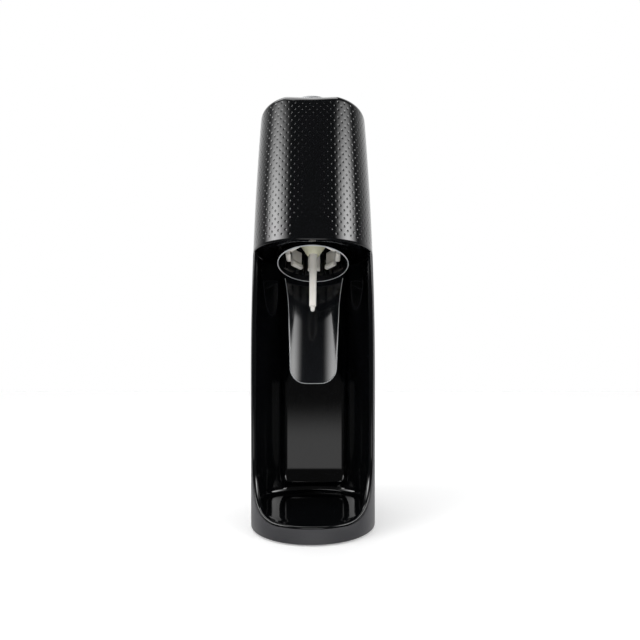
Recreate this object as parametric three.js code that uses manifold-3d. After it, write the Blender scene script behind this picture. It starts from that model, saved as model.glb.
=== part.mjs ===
// Manual soda carbonator: a tall, slim countertop machine that charges water with gas.
// Units are millimetres, +Z is up, the front is -Y, and the origin is on the table under the middle.
import * as THREE from "three";
import { mergeVertices } from "three/addons/utils/BufferGeometryUtils.js";
import Module from "manifold-3d";

const wasm = await Module();
wasm.setup();

// ---------------------------------------------------------------- driving dimensions
const WIDTH = 130; // across the base
const DEPTH = 185; // front of the base to the back of the rear cover
const HEIGHT = 425; // table to the top of the button
const GAP = 0.3; // clearance between neighbouring pieces
const SEAM = 0.4; // visible joint line between two covers
const WALL = 2.5; // moulded covers
const LINER_WALL = 2;

const END_R = WIDTH / 2; // both ends of the plan are round
const FRONT_Y = END_R - DEPTH / 2; // centre of the front end
const REAR_Y = -FRONT_Y; // centre of the rear end
const TAPER_FROM = 150; // below this height the sides are upright
const TAPER = 1.5e-4; // how fast they close in above it
const SHELL_BOTTOM = 1.5;
const SHELL_TOP = 421.8;
const TOP_FILLET = 6;
const DIP_R = 102; // the top dips towards the front, like a cylinder of this radius laid along the machine
const DIP_SLOPE = 0.055;
const DIP_FROM_Y = -20;
const DIP_FROM_Z = 398; // the sides below this height are untouched

const HEAD_Z = 280.2; // lower edge of the dimpled head cover
const HEAD_BACK_Y = 6; // where the head cover meets the body shell
const REAR_COVER_Y = 50; // where the rear cover starts
const REAR_COVER_Z = 24;

// The bay's opening in side view: upright edge, elliptical sweep, level front lip.
const LIP_Z = 15.5; // top of the base's front lip
const LIP_Y = -85; // where the level lip starts to sweep up
const EDGE_Y = -50; // upright edge of the side walls
const SWEEP_H = 60;
const RIM = 2.5; // width of the glossy rim that caps that edge

// The bay itself
const TROUGH_DEPTH = 36; // half ellipse behind the front end's centre
const CHANNEL_W = 38; // half width of the recess behind the bottle
const CHANNEL_Y = 18;
const FLOOR_FRONT_Z = 17.5;
const FLOOR_BACK_Z = 23;

// Gas bottle and its seat
const CYL_Y = 52;
const CYL_R = 30;
const CYL_BOTTOM = 22;
const CYL_SHOULDER = 300;
const VALVE_COLLAR_Z = 330;
const THREAD_Z = 345;
const VALVE_TOP = 372;
const THREAD_R = 10.5;
const SEAT_PLATE_Z = 352;
const SEAT_TOP = 380;

// Bottle holder: it tilts about a pin across the machine, and is drawn here tilted forward, open
const PIVOT = new THREE.Vector3(0, -29, 292.8);
const TILT = THREE.MathUtils.degToRad(15.5);
const MOUTH_Z = -22.5; // the mouth ring's plane, below the pivot
const MOUTH_R = 37.3;
const JAWS = 8;
const JAW_W = 13.5;
const JAW_END_Z = -15.2;
const JAW_PIN_R = 27;
const JAW_PIN_Z = 4;
const GUIDE_R = 43; // inner radius of the guide plate behind the bottle
const GUIDE_END_Z = -139.5;
const TUBE_END_Z = -69.8;
const TIP_END_Z = -74.9;

// Button and lever
const BUTTON_Y = -39.5;
const BUTTON_HALF_W = 25;
const BUTTON_HALF_L = 33;
const BUTTON_FRONT_Z = 423.5; // the cap slopes down to this height at its front
const STEM_Y = -20;
const GUIDE_POST_Y = -58;
const LEVER_PIVOT_Y = 75;
const LEVER_Z = 391.2;
const LEVER_H = 5.6;
const BRIDGE_Z = 396;
const CHEEK_X = 41;
const CHEEK_T = 3;

// ---------------------------------------------------------------- materials
const finish = (color, roughness, metalness = 0) =>
  new THREE.MeshStandardMaterial({ color, roughness, metalness });
const MATERIALS = {
  gloss: finish(0x0c0d10, 0.08),
  matte: finish(0x4a4a4c, 0.5),
  smoke: finish(0x1c1e22, 0.06),
  white: finish(0xe6e4e0, 0.4),
  seal: finish(0xdcdcc0, 0.6),
  rubber: finish(0x1a1a1a, 0.9),
  chassis: finish(0x2b2c2e, 0.6),
  brass: finish(0xc8a45a, 0.3, 1),
  steel: finish(0xb8b8bc, 0.3, 1),
  silver: finish(0xc4c6c8, 0.25, 1),
  painted: finish(0xd0d4d8, 0.35),
};

// ---------------------------------------------------------------- solids
const degenerate = (a, b, c) => a === b || b === c || a === c;

// A closed three.js geometry as a solid, with its faces turned outwards.
function solid(geometry) {
  const bare = geometry.clone();
  bare.deleteAttribute("normal");
  bare.deleteAttribute("uv");
  const merged = mergeVertices(bare, 1e-4);
  const index = merged.index.array;
  const triangles = [];
  for (let i = 0; i < index.length; i += 3) {
    const [a, b, c] = [index[i], index[i + 1], index[i + 2]];
    if (!degenerate(a, b, c)) triangles.push(a, b, c);
  }
  const build = (order) =>
    new wasm.Manifold(
      new wasm.Mesh({
        numProp: 3,
        vertProperties: new Float32Array(merged.attributes.position.array),
        triVerts: new Uint32Array(order),
      }),
    );
  const made = build(triangles);
  return made.volume() < 0 ? build(triangles.slice().reverse()) : made;
}

function geometryOf(manifold) {
  const mesh = manifold.getMesh();
  const position = new Float32Array(mesh.numVert * 3);
  for (let i = 0; i < mesh.numVert; i++) {
    const from = i * mesh.numProp;
    position.set(mesh.vertProperties.subarray(from, from + 3), i * 3);
  }
  const geometry = new THREE.BufferGeometry();
  geometry.setAttribute("position", new THREE.BufferAttribute(position, 3));
  geometry.setIndex(new THREE.BufferAttribute(new Uint32Array(mesh.triVerts), 1));
  geometry.computeVertexNormals();
  return geometry;
}

const union = (...parts) => parts.reduce((a, b) => a.add(b));

// Box from its lowest to its highest corner.
function box([x0, y0, z0], [x1, y1, z1]) {
  const g = new THREE.BoxGeometry(x1 - x0, y1 - y0, z1 - z0);
  return solid(g.translate((x0 + x1) / 2, (y0 + y1) / 2, (z0 + z1) / 2));
}

// Upright cylinder or cone.
function rod(x, y, z0, z1, r, sides = 20, topR = r) {
  const g = new THREE.CylinderGeometry(topR, r, z1 - z0, sides);
  return solid(g.rotateX(Math.PI / 2).translate(x, y, (z0 + z1) / 2));
}

// Cylinder across the machine.
function crossRod(x0, x1, y, z, r, sides = 16) {
  const g = new THREE.CylinderGeometry(r, r, x1 - x0, sides);
  return solid(g.rotateZ(Math.PI / 2).translate((x0 + x1) / 2, y, z));
}

// A profile of [radius, height] pairs turned about the vertical axis through (x, y).
function lathe(profile, segments = 28, x = 0, y = 0) {
  const closed = profile[0][0] > 0 ? [...profile, profile[0]] : profile;
  const points = closed.map(([r, z]) => new THREE.Vector2(r, z));
  return solid(new THREE.LatheGeometry(points, segments).rotateX(Math.PI / 2).translate(x, y, 0));
}

// A shape drawn in the view along one axis, and pushed through along that axis.
function prism(shape, from, to, xAxis, yAxis, curveSegments) {
  const g = new THREE.ExtrudeGeometry(shape, { depth: to - from, bevelEnabled: false, curveSegments });
  const zAxis = new THREE.Vector3().crossVectors(xAxis, yAxis);
  g.translate(0, 0, from);
  return solid(g.applyMatrix4(new THREE.Matrix4().makeBasis(xAxis, yAxis, zAxis)));
}
const X = new THREE.Vector3(1, 0, 0);
const Y = new THREE.Vector3(0, 1, 0);
const Z = new THREE.Vector3(0, 0, 1);
const prismX = (shape, x0, x1, curve = 10) => prism(shape, x0, x1, Y, Z, curve);
const prismY = (shape, y0, y1, curve = 8) => prism(shape, -y1, -y0, X, Z, curve);
const prismZ = (shape, z0, z1, curve = 8) => prism(shape, z0, z1, X, Y, curve);

function polygon(points) {
  return new THREE.Shape(points.map(([x, y]) => new THREE.Vector2(x, y)));
}

// Rectangle with round ends, lengthways along the second axis.
function obround(halfW, halfL, cx = 0, cy = 0) {
  const shape = new THREE.Shape();
  const straight = halfL - halfW;
  shape.absarc(cx, cy + straight, halfW, 0, Math.PI, false);
  shape.absarc(cx, cy - straight, halfW, Math.PI, 2 * Math.PI, false);
  return shape;
}

function ellipse(cx, cy, rx, ry) {
  return new THREE.Shape().absellipse(cx, cy, rx, ry, 0, 2 * Math.PI, false);
}

// Joins rings of equal length into a closed solid: each ring is { z, points }.
function loft(rings) {
  const count = rings[0].points.length;
  const position = [];
  for (const { z, points } of rings) for (const [x, y] of points) position.push(x, y, z - dip(x, y, z));
  const index = [];
  for (let r = 0; r + 1 < rings.length; r++)
    for (let i = 0; i < count; i++) {
      const a = r * count + i;
      const b = r * count + ((i + 1) % count);
      index.push(a, b, b + count, a, b + count, a + count);
    }
  const cap = (ring, flip) => {
    const start = ring * count;
    const centre = position.length / 3;
    const mean = [0, 1].map((k) => rings[ring].points.reduce((s, p) => s + p[k], 0) / count);
    position.push(mean[0], mean[1], rings[ring].z);
    for (let i = 0; i < count; i++) {
      const a = start + i;
      const b = start + ((i + 1) % count);
      index.push(...(flip ? [centre, b, a] : [centre, a, b]));
    }
  };
  cap(0, true);
  cap(rings.length - 1, false);
  const g = new THREE.BufferGeometry();
  g.setAttribute("position", new THREE.Float32BufferAttribute(position, 3));
  g.setIndex(index);
  return solid(g);
}

// Round section along a smooth path of [x, y, z] points.
function tube(path, radius, steps, sides = 8) {
  const curve = new THREE.CatmullRomCurve3(path.map((p) => new THREE.Vector3(...p)));
  const section = new THREE.Shape().absarc(0, 0, radius, 0, 2 * Math.PI, false);
  const options = { extrudePath: curve, steps, curveSegments: sides / 2, bevelEnabled: false };
  return solid(new THREE.ExtrudeGeometry(section, options));
}

// Compression spring standing on z0, with its axis at (x, y).
function spring(x, y, z0, z1, radius, wire, turns) {
  class Helix extends THREE.Curve {
    getPoint(t, target = new THREE.Vector3()) {
      const a = 2 * Math.PI * turns * t;
      const z = z0 + wire + (z1 - z0 - 2 * wire) * t;
      return target.set(x + radius * Math.cos(a), y + radius * Math.sin(a), z);
    }
  }
  const section = new THREE.Shape().absarc(0, 0, wire, 0, 2 * Math.PI, false);
  const options = { extrudePath: new Helix(), steps: turns * 8, curveSegments: 2, bevelEnabled: false };
  return solid(new THREE.ExtrudeGeometry(section, options));
}

// ---------------------------------------------------------------- the machine's outer form
const halfWidth = (z) => END_R - TAPER * Math.max(0, z - TAPER_FROM) ** 2;
const squareness = (z) => 2.05 + (0.35 * z) / SHELL_TOP; // the plan's ends flatten towards the top

// How far the top is lowered at (x, y) and height z.
function dip(x, y, z) {
  const full = Math.max(0, DIP_SLOPE * (DIP_FROM_Y - y) - x ** 2 / (2 * DIP_R));
  const share = (z - DIP_FROM_Z) / (SHELL_TOP - TOP_FILLET - DIP_FROM_Z);
  return full * THREE.MathUtils.clamp(share, 0, 1);
}

const END_STEPS = 16;
// One round end of the plan: sign -1 is the front, +1 the rear.
function endArc(w, depth, n, centreY, sign) {
  return Array.from({ length: END_STEPS + 1 }, (_, i) => {
    const a = Math.PI * (i / END_STEPS - 0.5) * -sign;
    const x = Math.sign(Math.sin(a)) * Math.abs(Math.sin(a)) ** (2 / n);
    const y = Math.abs(Math.cos(a)) ** (2 / n);
    return [w * x, centreY + sign * depth * y];
  });
}

const bodyRing = (z, inset) => ({
  z,
  points: [
    ...endArc(halfWidth(z) - inset, halfWidth(z) - inset, squareness(z), FRONT_Y, -1),
    ...endArc(halfWidth(z) - inset, halfWidth(z) - inset, squareness(z), REAR_Y, 1),
  ],
});

// The whole outer form, shrunk by inset all round, with a rounded top edge.
function bodyForm(inset, bottom) {
  const top = SHELL_TOP - inset;
  const fillet = TOP_FILLET - inset;
  const levels = [bottom, TAPER_FROM, 200, 245, 290, 335, 370, DIP_FROM_Z, top - fillet];
  const rings = levels.map((z) => bodyRing(z, inset));
  for (const a of [0.4, 0.8, 1.2, Math.PI / 2]) {
    const z = top - fillet + fillet * Math.sin(a);
    rings.push(bodyRing(z, inset + fillet * (1 - Math.cos(a))));
  }
  return loft(rings);
}

// What lies in front of the bay's edge, in side view, as a block right across the machine.
function bayOpening(advance) {
  const shape = new THREE.Shape();
  shape.moveTo(-120, HEAD_Z + SEAM);
  shape.lineTo(-120, LIP_Z + advance);
  shape.lineTo(LIP_Y, LIP_Z + advance);
  const reach = EDGE_Y - advance - LIP_Y;
  shape.absellipse(LIP_Y, LIP_Z + advance + SWEEP_H, reach, SWEEP_H, -Math.PI / 2, 0, false);
  shape.lineTo(EDGE_Y - advance, HEAD_Z + SEAM);
  return prismX(shape, -100, 100);
}

const outerForm = bodyForm(0, SHELL_BOTTOM);
const shell = outerForm.subtract(bodyForm(WALL, 0));
const headZone = (grow) => box([-100, -120, HEAD_Z - grow], [100, HEAD_BACK_Y + grow, 450]);
const rearZone = (grow) => box([-100, REAR_COVER_Y - grow, REAR_COVER_Z - grow], [100, 120, 450]);

// ---------------------------------------------------------------- covers
const BASE_SCREWS = [[-52, -30], [52, -30], [-46, 52], [46, 52]];
const FRAME_SCREWS = [[-51, 28], [51, 28]];
const FRAME_TAB_Z = 330;

function bodyShell() {
  const cut = shell
    .subtract(headZone(SEAM))
    .subtract(rearZone(SEAM))
    .subtract(bayOpening(0));
  const inside = bodyForm(WALL / 2, 0);
  const baseBoss = ([x, y]) =>
    box([x - 5, y - 5, 5.9], [x + 5, y + 5, 12]).add(
      box([Math.min(x, Math.sign(x) * 66), y - 2, 5.9], [Math.max(x, Math.sign(x) * 66), y + 2, 12]),
    );
  const frameBoss = ([x, y]) => {
    const outer = Math.sign(x) * 62;
    return box(
      [Math.min(x - 4, outer), y - 6, FRAME_TAB_Z - 12],
      [Math.max(x + 4, outer), y + 6, FRAME_TAB_Z - GAP],
    );
  };
  const bosses = union(...BASE_SCREWS.map(baseBoss), ...FRAME_SCREWS.map(frameBoss)).intersect(inside);
  const holes = union(
    ...BASE_SCREWS.map(([x, y]) => rod(x, y, 5, 11, 1.9, 12)),
    ...FRAME_SCREWS.map(([x, y]) => rod(x, y, FRAME_TAB_Z - 10, FRAME_TAB_Z, 1.9, 12)),
  );
  return cut.add(bosses).subtract(holes);
}

function headCover() {
  const hole = prismZ(obround(BUTTON_HALF_W + 0.6, BUTTON_HALF_L + 0.6, 0, BUTTON_Y), 400, 440, 14);
  return shell.intersect(headZone(0)).subtract(hole);
}

// Level ring that closes the head's underside around the bottle holder.
function headBezel() {
  const z0 = HEAD_Z + 1.8;
  const inset = WALL + GAP;
  const w = halfWidth(z0) - inset;
  const points = [
    ...endArc(w, w, squareness(z0), FRONT_Y, -1),
    ...endArc(w, TROUGH_DEPTH + 12, 2.4, FRONT_Y, 1),
  ];
  const plate = loft([{ z: z0, points }, { z: z0 + 2, points }]);
  return plate.subtract(prismZ(ellipse(0, -32.5, 39.5, 45), z0 - 5, z0 + 5, 14));
}

const LATCH_Y = 65;
const LATCH_HALF_W = 12;
const LATCH_HALF_L = 7;
const LATCH_SHELF_Z = 401;

function rearCover() {
  const window = box(
    [-LATCH_HALF_W - 0.4, LATCH_Y - LATCH_HALF_L - 0.4, 410],
    [LATCH_HALF_W + 0.4, LATCH_Y + LATCH_HALF_L + 0.4, 430],
  );
  const cheek = (x) => box([x - 1, 56, LATCH_SHELF_Z - 2], [x + 1, 74, SHELL_TOP - 1]);
  const shelf = box([-15, 56, LATCH_SHELF_Z - 2], [15, 74, LATCH_SHELF_Z]);
  const tray = union(cheek(-14), cheek(14), shelf).intersect(bodyForm(WALL / 2, 0));
  return shell.intersect(rearZone(0)).subtract(window).add(tray);
}

function basePlate() {
  const z0 = 3;
  const z1 = 5.6;
  const plate = loft([bodyRing(z0, WALL + GAP), bodyRing(z1, WALL + GAP)].map((r, i) => ({ ...r, z: i ? z1 : z0 })));
  const holes = BASE_SCREWS.map(([x, y]) => rod(x, y, z0 - 1, z1 + 1, 1.9, 12));
  const sinks = BASE_SCREWS.map(([x, y]) => rod(x, y, z0 - 1, z0 + 1.2, 3.4, 14));
  return plate.subtract(union(...holes, ...sinks));
}

const foot = (x, y) => lathe([[0, 0], [8, 0], [9, 0.8], [9, 2.7], [0, 2.7]], 24, x, y);

// Countersunk-pan screw pointing up from z, or down when up is false.
function screw(x, y, headZ, length, up) {
  const s = up ? 1 : -1;
  const profile = [[0, 0], [3, 0], [3, s * 1.8], [1.5, s * 1.8], [1.5, s * length], [0, s * length]];
  return lathe(profile.map(([r, z]) => [r, headZ + z]), 14, x, y);
}

// ---------------------------------------------------------------- bay liner
// Plan of the bay at a height, shrunk from the body's plan by inset.
function bayRing(z, inset, troughDepth) {
  const w = halfWidth(z) - inset;
  const points = [...endArc(w, w, squareness(z), FRONT_Y, -1), ...endArc(w, troughDepth, 2, FRONT_Y, 1)];
  return { z, points };
}

function bayForm(inset, troughDepth, bottom, top) {
  return loft([bottom, TAPER_FROM, 200, 245, top].map((z) => bayRing(z, inset, troughDepth)));
}

// Recess behind the bottle: flat-backed, with rounded corners in plan and a scooped, rounded foot.
function channelForm(grow, top) {
  const w = CHANNEL_W + grow;
  const back = CHANNEL_Y + grow;
  const foot = FLOOR_BACK_Z - grow;
  const corner = 15;
  const plan = new THREE.Shape();
  plan.moveTo(-w, -20);
  plan.lineTo(w, -20);
  plan.lineTo(w, back - corner);
  plan.absarc(w - corner, back - corner, corner, 0, Math.PI / 2, false);
  plan.lineTo(-w + corner, back);
  plan.absarc(-w + corner, back - corner, corner, Math.PI / 2, Math.PI, false);
  const front = new THREE.Shape();
  front.moveTo(w, top);
  front.lineTo(-w, top);
  front.lineTo(-w, foot + 17);
  front.absarc(-w + 17, foot + 17, 17, Math.PI, 1.5 * Math.PI, false);
  front.absarc(w - 17, foot + 17, 17, 1.5 * Math.PI, 2 * Math.PI, false);
  const side = new THREE.Shape();
  side.moveTo(-20, foot);
  side.lineTo(back - 16, foot);
  side.absellipse(back - 16, foot + 25, 16, 25, 1.5 * Math.PI, 2 * Math.PI, false);
  side.lineTo(back, top);
  side.lineTo(-20, top);
  return prismZ(plan, 0, top, 5).intersect(prismY(front, -60, 60, 6)).intersect(prismX(side, -60, 60, 6));
}

// Everything above the bay's sloping floor, lowered by drop.
function aboveFloor(drop) {
  const slope = (FLOOR_BACK_Z - FLOOR_FRONT_Z) / (END_R + TROUGH_DEPTH);
  const zAt = (y) => FLOOR_FRONT_Z + slope * (y - FRONT_Y + END_R) - drop;
  return prismX(polygon([[-120, zAt(-120)], [60, zAt(60)], [60, 400], [-120, 400]]), -100, 100);
}

function bayLiner() {
  const top = HEAD_Z - GAP;
  const outer = bayForm(WALL + GAP, TROUGH_DEPTH + LINER_WALL, 5, top)
    .intersect(aboveFloor(LINER_WALL))
    .add(channelForm(LINER_WALL, top));
  const inner = bayForm(WALL + GAP + LINER_WALL, TROUGH_DEPTH, 5, top + 10)
    .intersect(aboveFloor(0))
    .add(channelForm(0, top + 10));
  const rim = outerForm
    .intersect(bayOpening(GAP))
    .subtract(inner)
    .intersect(box([-100, -120, LIP_Z], [100, 0, top]));
  return outer.subtract(inner).add(rim).subtract(bayOpening(RIM));
}

// ---------------------------------------------------------------- mechanism frame
function mechanismFrame() {
  const cheek = (s) =>
    box([s > 0 ? CHEEK_X : -CHEEK_X - CHEEK_T, -44, 286.5], [s > 0 ? CHEEK_X + CHEEK_T : -CHEEK_X, 34, BRIDGE_Z + 3]);
  const bridge = union(
    box([-CHEEK_X - CHEEK_T, -44, BRIDGE_Z], [CHEEK_X + CHEEK_T, 10, BRIDGE_Z + 3]),
    box([-30, -66, BRIDGE_Z], [30, -43, BRIDGE_Z + 3]),
  );
  const seatPlate = box([-CHEEK_X - CHEEK_T, 20, SEAT_PLATE_Z], [CHEEK_X + CHEEK_T, 82, SEAT_PLATE_Z + 4])
    .intersect(bodyForm(WALL + 1.2, 300));
  const ear = (x) => box([x - 1.5, 72.2, SEAT_PLATE_Z], [x + 1.5, 79, LEVER_Z + 5]);
  const tab = ([x, y]) => {
    const s = Math.sign(x);
    return box(
      [Math.min(s * 42, x + s * 5), y - 6, FRAME_TAB_Z],
      [Math.max(s * 42, x + s * 5), y + 6, FRAME_TAB_Z + 3],
    );
  };
  const solidFrame = union(cheek(-1), cheek(1), bridge, seatPlate, ear(-10.5), ear(10.5), ...FRAME_SCREWS.map(tab));
  const lightening = (s) =>
    prismX(obround(11, 24, 2, 335), s > 0 ? CHEEK_X - 1 : -CHEEK_X - 4, s > 0 ? CHEEK_X + 4 : -CHEEK_X + 1, 6);
  const holes = union(
    crossRod(-50, 50, PIVOT.y, PIVOT.z, 2.9),
    crossRod(-20, 20, LEVER_PIVOT_Y, LEVER_Z, 2.9),
    rod(0, CYL_Y, 340, 360, 17.4, 28),
    rod(0, STEM_Y, 390, 405, 5.6),
    rod(0, GUIDE_POST_Y, 390, 405, 4),
    ...FRAME_SCREWS.map(([x, y]) => rod(x, y, 325, 340, 1.9, 12)),
    lightening(-1),
    lightening(1),
  );
  return solidFrame.subtract(holes);
}

// ---------------------------------------------------------------- gas side
function gasCylinder() {
  const wall = 2.6;
  const outer = [[14, CYL_BOTTOM + 5], [20, CYL_BOTTOM + 1], [25, CYL_BOTTOM], [CYL_R, CYL_BOTTOM + 6], [CYL_R, CYL_SHOULDER],
    [27.5, CYL_SHOULDER + 13], [21, CYL_SHOULDER + 23], [14, VALVE_COLLAR_Z - GAP]];
  const inner = [[9, VALVE_COLLAR_Z - GAP], [9, CYL_SHOULDER + 24], [19, CYL_SHOULDER + 20], [25, CYL_SHOULDER + 11],
    [CYL_R - wall, CYL_SHOULDER - 1], [CYL_R - wall, CYL_BOTTOM + 9], [0, CYL_BOTTOM + 9]];
  return lathe([[0, CYL_BOTTOM + 5], ...outer, ...inner], 30, 0, CYL_Y);
}

function cylinderValve() {
  const plug = [[0, 322], [8.6, 322], [8.6, VALVE_COLLAR_Z], [13, VALVE_COLLAR_Z], [13, THREAD_Z - 1],
    [THREAD_R, THREAD_Z - 1], [THREAD_R, VALVE_TOP], [2.6, VALVE_TOP], [2.6, VALVE_TOP - 14], [0, VALVE_TOP - 14]];
  return lathe(plug, 28, 0, CYL_Y);
}

function cylinderSeat() {
  const body = lathe(
    [[14, THREAD_Z + 1.5], [17, THREAD_Z + 1.5], [17, SEAT_PLATE_Z + 4.3], [19.6, SEAT_PLATE_Z + 4.3],
      [19.6, SEAT_PLATE_Z + 8], [16, SEAT_PLATE_Z + 9], [16, SEAT_TOP], [2.8, SEAT_TOP], [2.8, VALVE_TOP + 2.2],
      [THREAD_R + 0.4, VALVE_TOP + 2.2], [THREAD_R + 0.4, THREAD_Z + 15], [14, THREAD_Z + 12]],
    28, 0, CYL_Y,
  );
  const outlet = crossRod(-24, -13, CYL_Y, 370, 4.5, 14).subtract(crossRod(-25, -12, CYL_Y, 370, 1.5, 8));
  return body.add(outlet).subtract(rod(0, CYL_Y, 365, VALVE_TOP + 2.2, THREAD_R + 0.4, 28));
}

const seatWasher = () => lathe([[4, VALVE_TOP + GAP], [9.6, VALVE_TOP + GAP], [9.6, VALVE_TOP + 1.9], [4, VALVE_TOP + 1.9]], 24, 0, CYL_Y);
const valveStem = () => lathe([[0, VALVE_TOP - 11], [2, VALVE_TOP - 11], [2, VALVE_TOP + 0.6], [0, VALVE_TOP + 0.6]], 14, 0, CYL_Y);
const pushPin = () => {
  const top = LEVER_Z - LEVER_H / 2 - GAP;
  return lathe([[0, VALVE_TOP + 1], [2.3, VALVE_TOP + 1], [2.3, top - 3], [3.4, top - 2], [3.4, top], [0, top]], 16, 0, CYL_Y);
};

const HOSE_X = -50;
function gasHose() {
  return tube([[-27.8, CYL_Y, 370], [-36, CYL_Y - 1, 370], [-45, CYL_Y - 12, 366], [-49, 20, 352], [HOSE_X, -4, 334],
    [HOSE_X, -22, 318], [HOSE_X, PIVOT.y, 304], [HOSE_X, PIVOT.y, 301.3]], 2.6, 26);
}
const hoseNut = () => crossRod(-27.2, -24.3, CYL_Y, 370, 5, 6).subtract(crossRod(-28, -24, CYL_Y, 370, 1.4, 8));
// Elbow on the outer end of the hollow tilt pin, which the hose pushes onto.
function hoseElbow() {
  const cup = crossRod(HOSE_X - 4.5, HOSE_X + 4.5, PIVOT.y, PIVOT.z, 5.5, 18);
  const spigot = rod(HOSE_X, PIVOT.y, PIVOT.z, 301, 3.4, 14);
  const bore = rod(HOSE_X, PIVOT.y, PIVOT.z, 302, 1.5, 8);
  return cup.add(spigot).subtract(bore).subtract(crossRod(HOSE_X + 1, HOSE_X + 5, PIVOT.y, PIVOT.z, 2.9));
}
const tiltPin = (s) => {
  const inner = s * 31.4;
  const outer = s > 0 ? 46.5 : HOSE_X + 1.3;
  return crossRod(Math.min(inner, outer), Math.max(inner, outer), PIVOT.y, PIVOT.z, 2.5, 16);
};

// ---------------------------------------------------------------- button and lever
function buttonCap() {
  const skirt = prismZ(obround(BUTTON_HALF_W, BUTTON_HALF_L, 0, BUTTON_Y), 409, HEIGHT - 1.5, 14);
  const top = prismZ(obround(BUTTON_HALF_W - 1.2, BUTTON_HALF_L - 1.2, 0, BUTTON_Y), HEIGHT - 1.6, HEIGHT, 14);
  const hollow = prismZ(obround(BUTTON_HALF_W - 2, BUTTON_HALF_L - 2, 0, BUTTON_Y), 400, HEIGHT - 6, 14);
  const tip = LEVER_Z + LEVER_H / 2 + 0.5;
  const stem = rod(0, STEM_Y, tip + 2, HEIGHT - 3, 5).add(rod(0, STEM_Y, tip, tip + 2, 3.5));
  const post = rod(0, GUIDE_POST_Y, 392, HEIGHT - 3, 3.5, 14);
  const slope = prismX(polygon([[-80, 300], [0, 300], [0, HEIGHT + 0.3], [-72, BUTTON_FRONT_Z], [-80, BUTTON_FRONT_Z - 0.4]]), -40, 40);
  return skirt.add(top).subtract(hollow).add(stem).add(post).intersect(slope);
}

function actuatorLever() {
  const z0 = LEVER_Z - LEVER_H / 2;
  const z1 = LEVER_Z + LEVER_H / 2;
  const bar = box([-7, STEM_Y - 8, z0], [7, LEVER_PIVOT_Y, z1]);
  const hub = crossRod(-7, 7, LEVER_PIVOT_Y, LEVER_Z, 5.2, 20);
  const rib = box([-1.5, STEM_Y - 4, z0 - 5], [1.5, CYL_Y - 10, z0 + 1]);
  return union(bar, hub, rib).subtract(crossRod(-8, 8, LEVER_PIVOT_Y, LEVER_Z, 2.9));
}
const leverPin = () => crossRod(-14, 14, LEVER_PIVOT_Y, LEVER_Z, 2.5, 16);

const latchButton = () => {
  const top = SHELL_TOP + 0.6;
  const block = box([-LATCH_HALF_W, LATCH_Y - LATCH_HALF_L, 413], [LATCH_HALF_W, LATCH_Y + LATCH_HALF_L, top]);
  const nose = box([-8, 44, 414], [8, LATCH_Y, 417]);
  return block.add(nose).subtract(rod(0, LATCH_Y, 411, 417, 5, 18));
};

// ---------------------------------------------------------------- tilting bottle holder, in its own frame
function collar() {
  const bell = lathe(
    [[35.4, MOUTH_Z], [36.6, MOUTH_Z - 0.8], [MOUTH_R, MOUTH_Z], [MOUTH_R, MOUTH_Z + 5], [34.6, -10], [33.6, 4],
      [32, 14], [29, 17], [13.2, 17], [13.2, 14.5], [28, 14.5], [30.4, 11], [31.6, 2], [32.6, -10], [35.4, MOUTH_Z + 4]],
    36,
  );
  const boss = (s) => crossRod(Math.min(s * 30, s * 38), Math.max(s * 30, s * 38), 0, 0, 6, 18);
  const bore = (s) => crossRod(Math.min(s * 31, s * 39), Math.max(s * 31, s * 39), 0, 0, 2.9);
  const bellSpace = lathe([[0, MOUTH_Z], [30, MOUTH_Z], [31.8, 2], [30.6, 11], [0, 13]], 24);
  const bosses = union(boss(-1), boss(1)).subtract(bellSpace);
  return bell.add(bosses).subtract(bore(-1)).subtract(bore(1));
}

// Ring that the gripping jaws hang from, with an ear between each pair.
function jawRing() {
  const ring = lathe([[21, 9], [29.2, 9], [28.6, 12.5], [27.6, 14.2], [21, 14.2]], 24);
  const ears = Array.from({ length: JAWS }, (_, i) => {
    const g = new THREE.BoxGeometry(3.2, 4, 8).translate(0, 25.6, 6);
    return solid(g.rotateZ((2 * Math.PI * (i + 0.5)) / JAWS));
  });
  return union(ring, ...ears);
}

// One jaw, in side view: a plate with a hinge bead above and a hook below that grips the bottle's neck.
function jaw(index) {
  const side = new THREE.Shape();
  side.moveTo(25.4, JAW_PIN_Z + 1.5);
  side.absarc(JAW_PIN_R, JAW_PIN_Z, 1.7, 0.8 * Math.PI, 0, true);
  side.lineTo(28.6, -5);
  side.lineTo(28.4, JAW_END_Z + 1);
  side.lineTo(27.2, JAW_END_Z);
  side.lineTo(24.2, JAW_END_Z);
  side.lineTo(23.4, JAW_END_Z + 1);
  side.lineTo(23.6, JAW_END_Z + 4.4);
  side.lineTo(25.6, JAW_END_Z + 6.6);
  const plate = prismX(side, -JAW_W / 2, JAW_W / 2, 3);
  const turn = (360 * index) / JAWS;
  return plate.rotate([0, 0, turn]);
}

function bottleSeal() {
  return lathe(
    [[4.4, -11.6], [6, -11], [7.6, -9.2], [9.8, -5.6], [12.2, -1.6], [14.4, 2.4], [15, 5.2], [13.6, 8.6],
      [10.4, 8.6], [10.4, 4], [4.4, 1]],
    32,
  );
}

// Two straight runs: a thicker root inside the seal, and the slimmer tube that reaches into the bottle.
function carbonatingTube() {
  return lathe(
    [[1.8, TUBE_END_Z], [3.2, TUBE_END_Z], [3.5, TUBE_END_Z + 1], [3.7, -34], [3.95, -31.6], [3.95, 4.6],
      [9.8, 4.6], [9.8, 8.6], [6, 8.9], [6, 17.4], [1.8, 17.4]],
    24,
  );
}

function nozzleTip() {
  return lathe(
    [[0.5, TIP_END_Z], [1.2, TIP_END_Z], [2, TIP_END_Z + 1.2], [2.2, TUBE_END_Z - GAP], [1.5, TUBE_END_Z - GAP],
      [1.5, TUBE_END_Z + 6], [0.5, TUBE_END_Z + 6]],
    16,
  );
}

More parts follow.
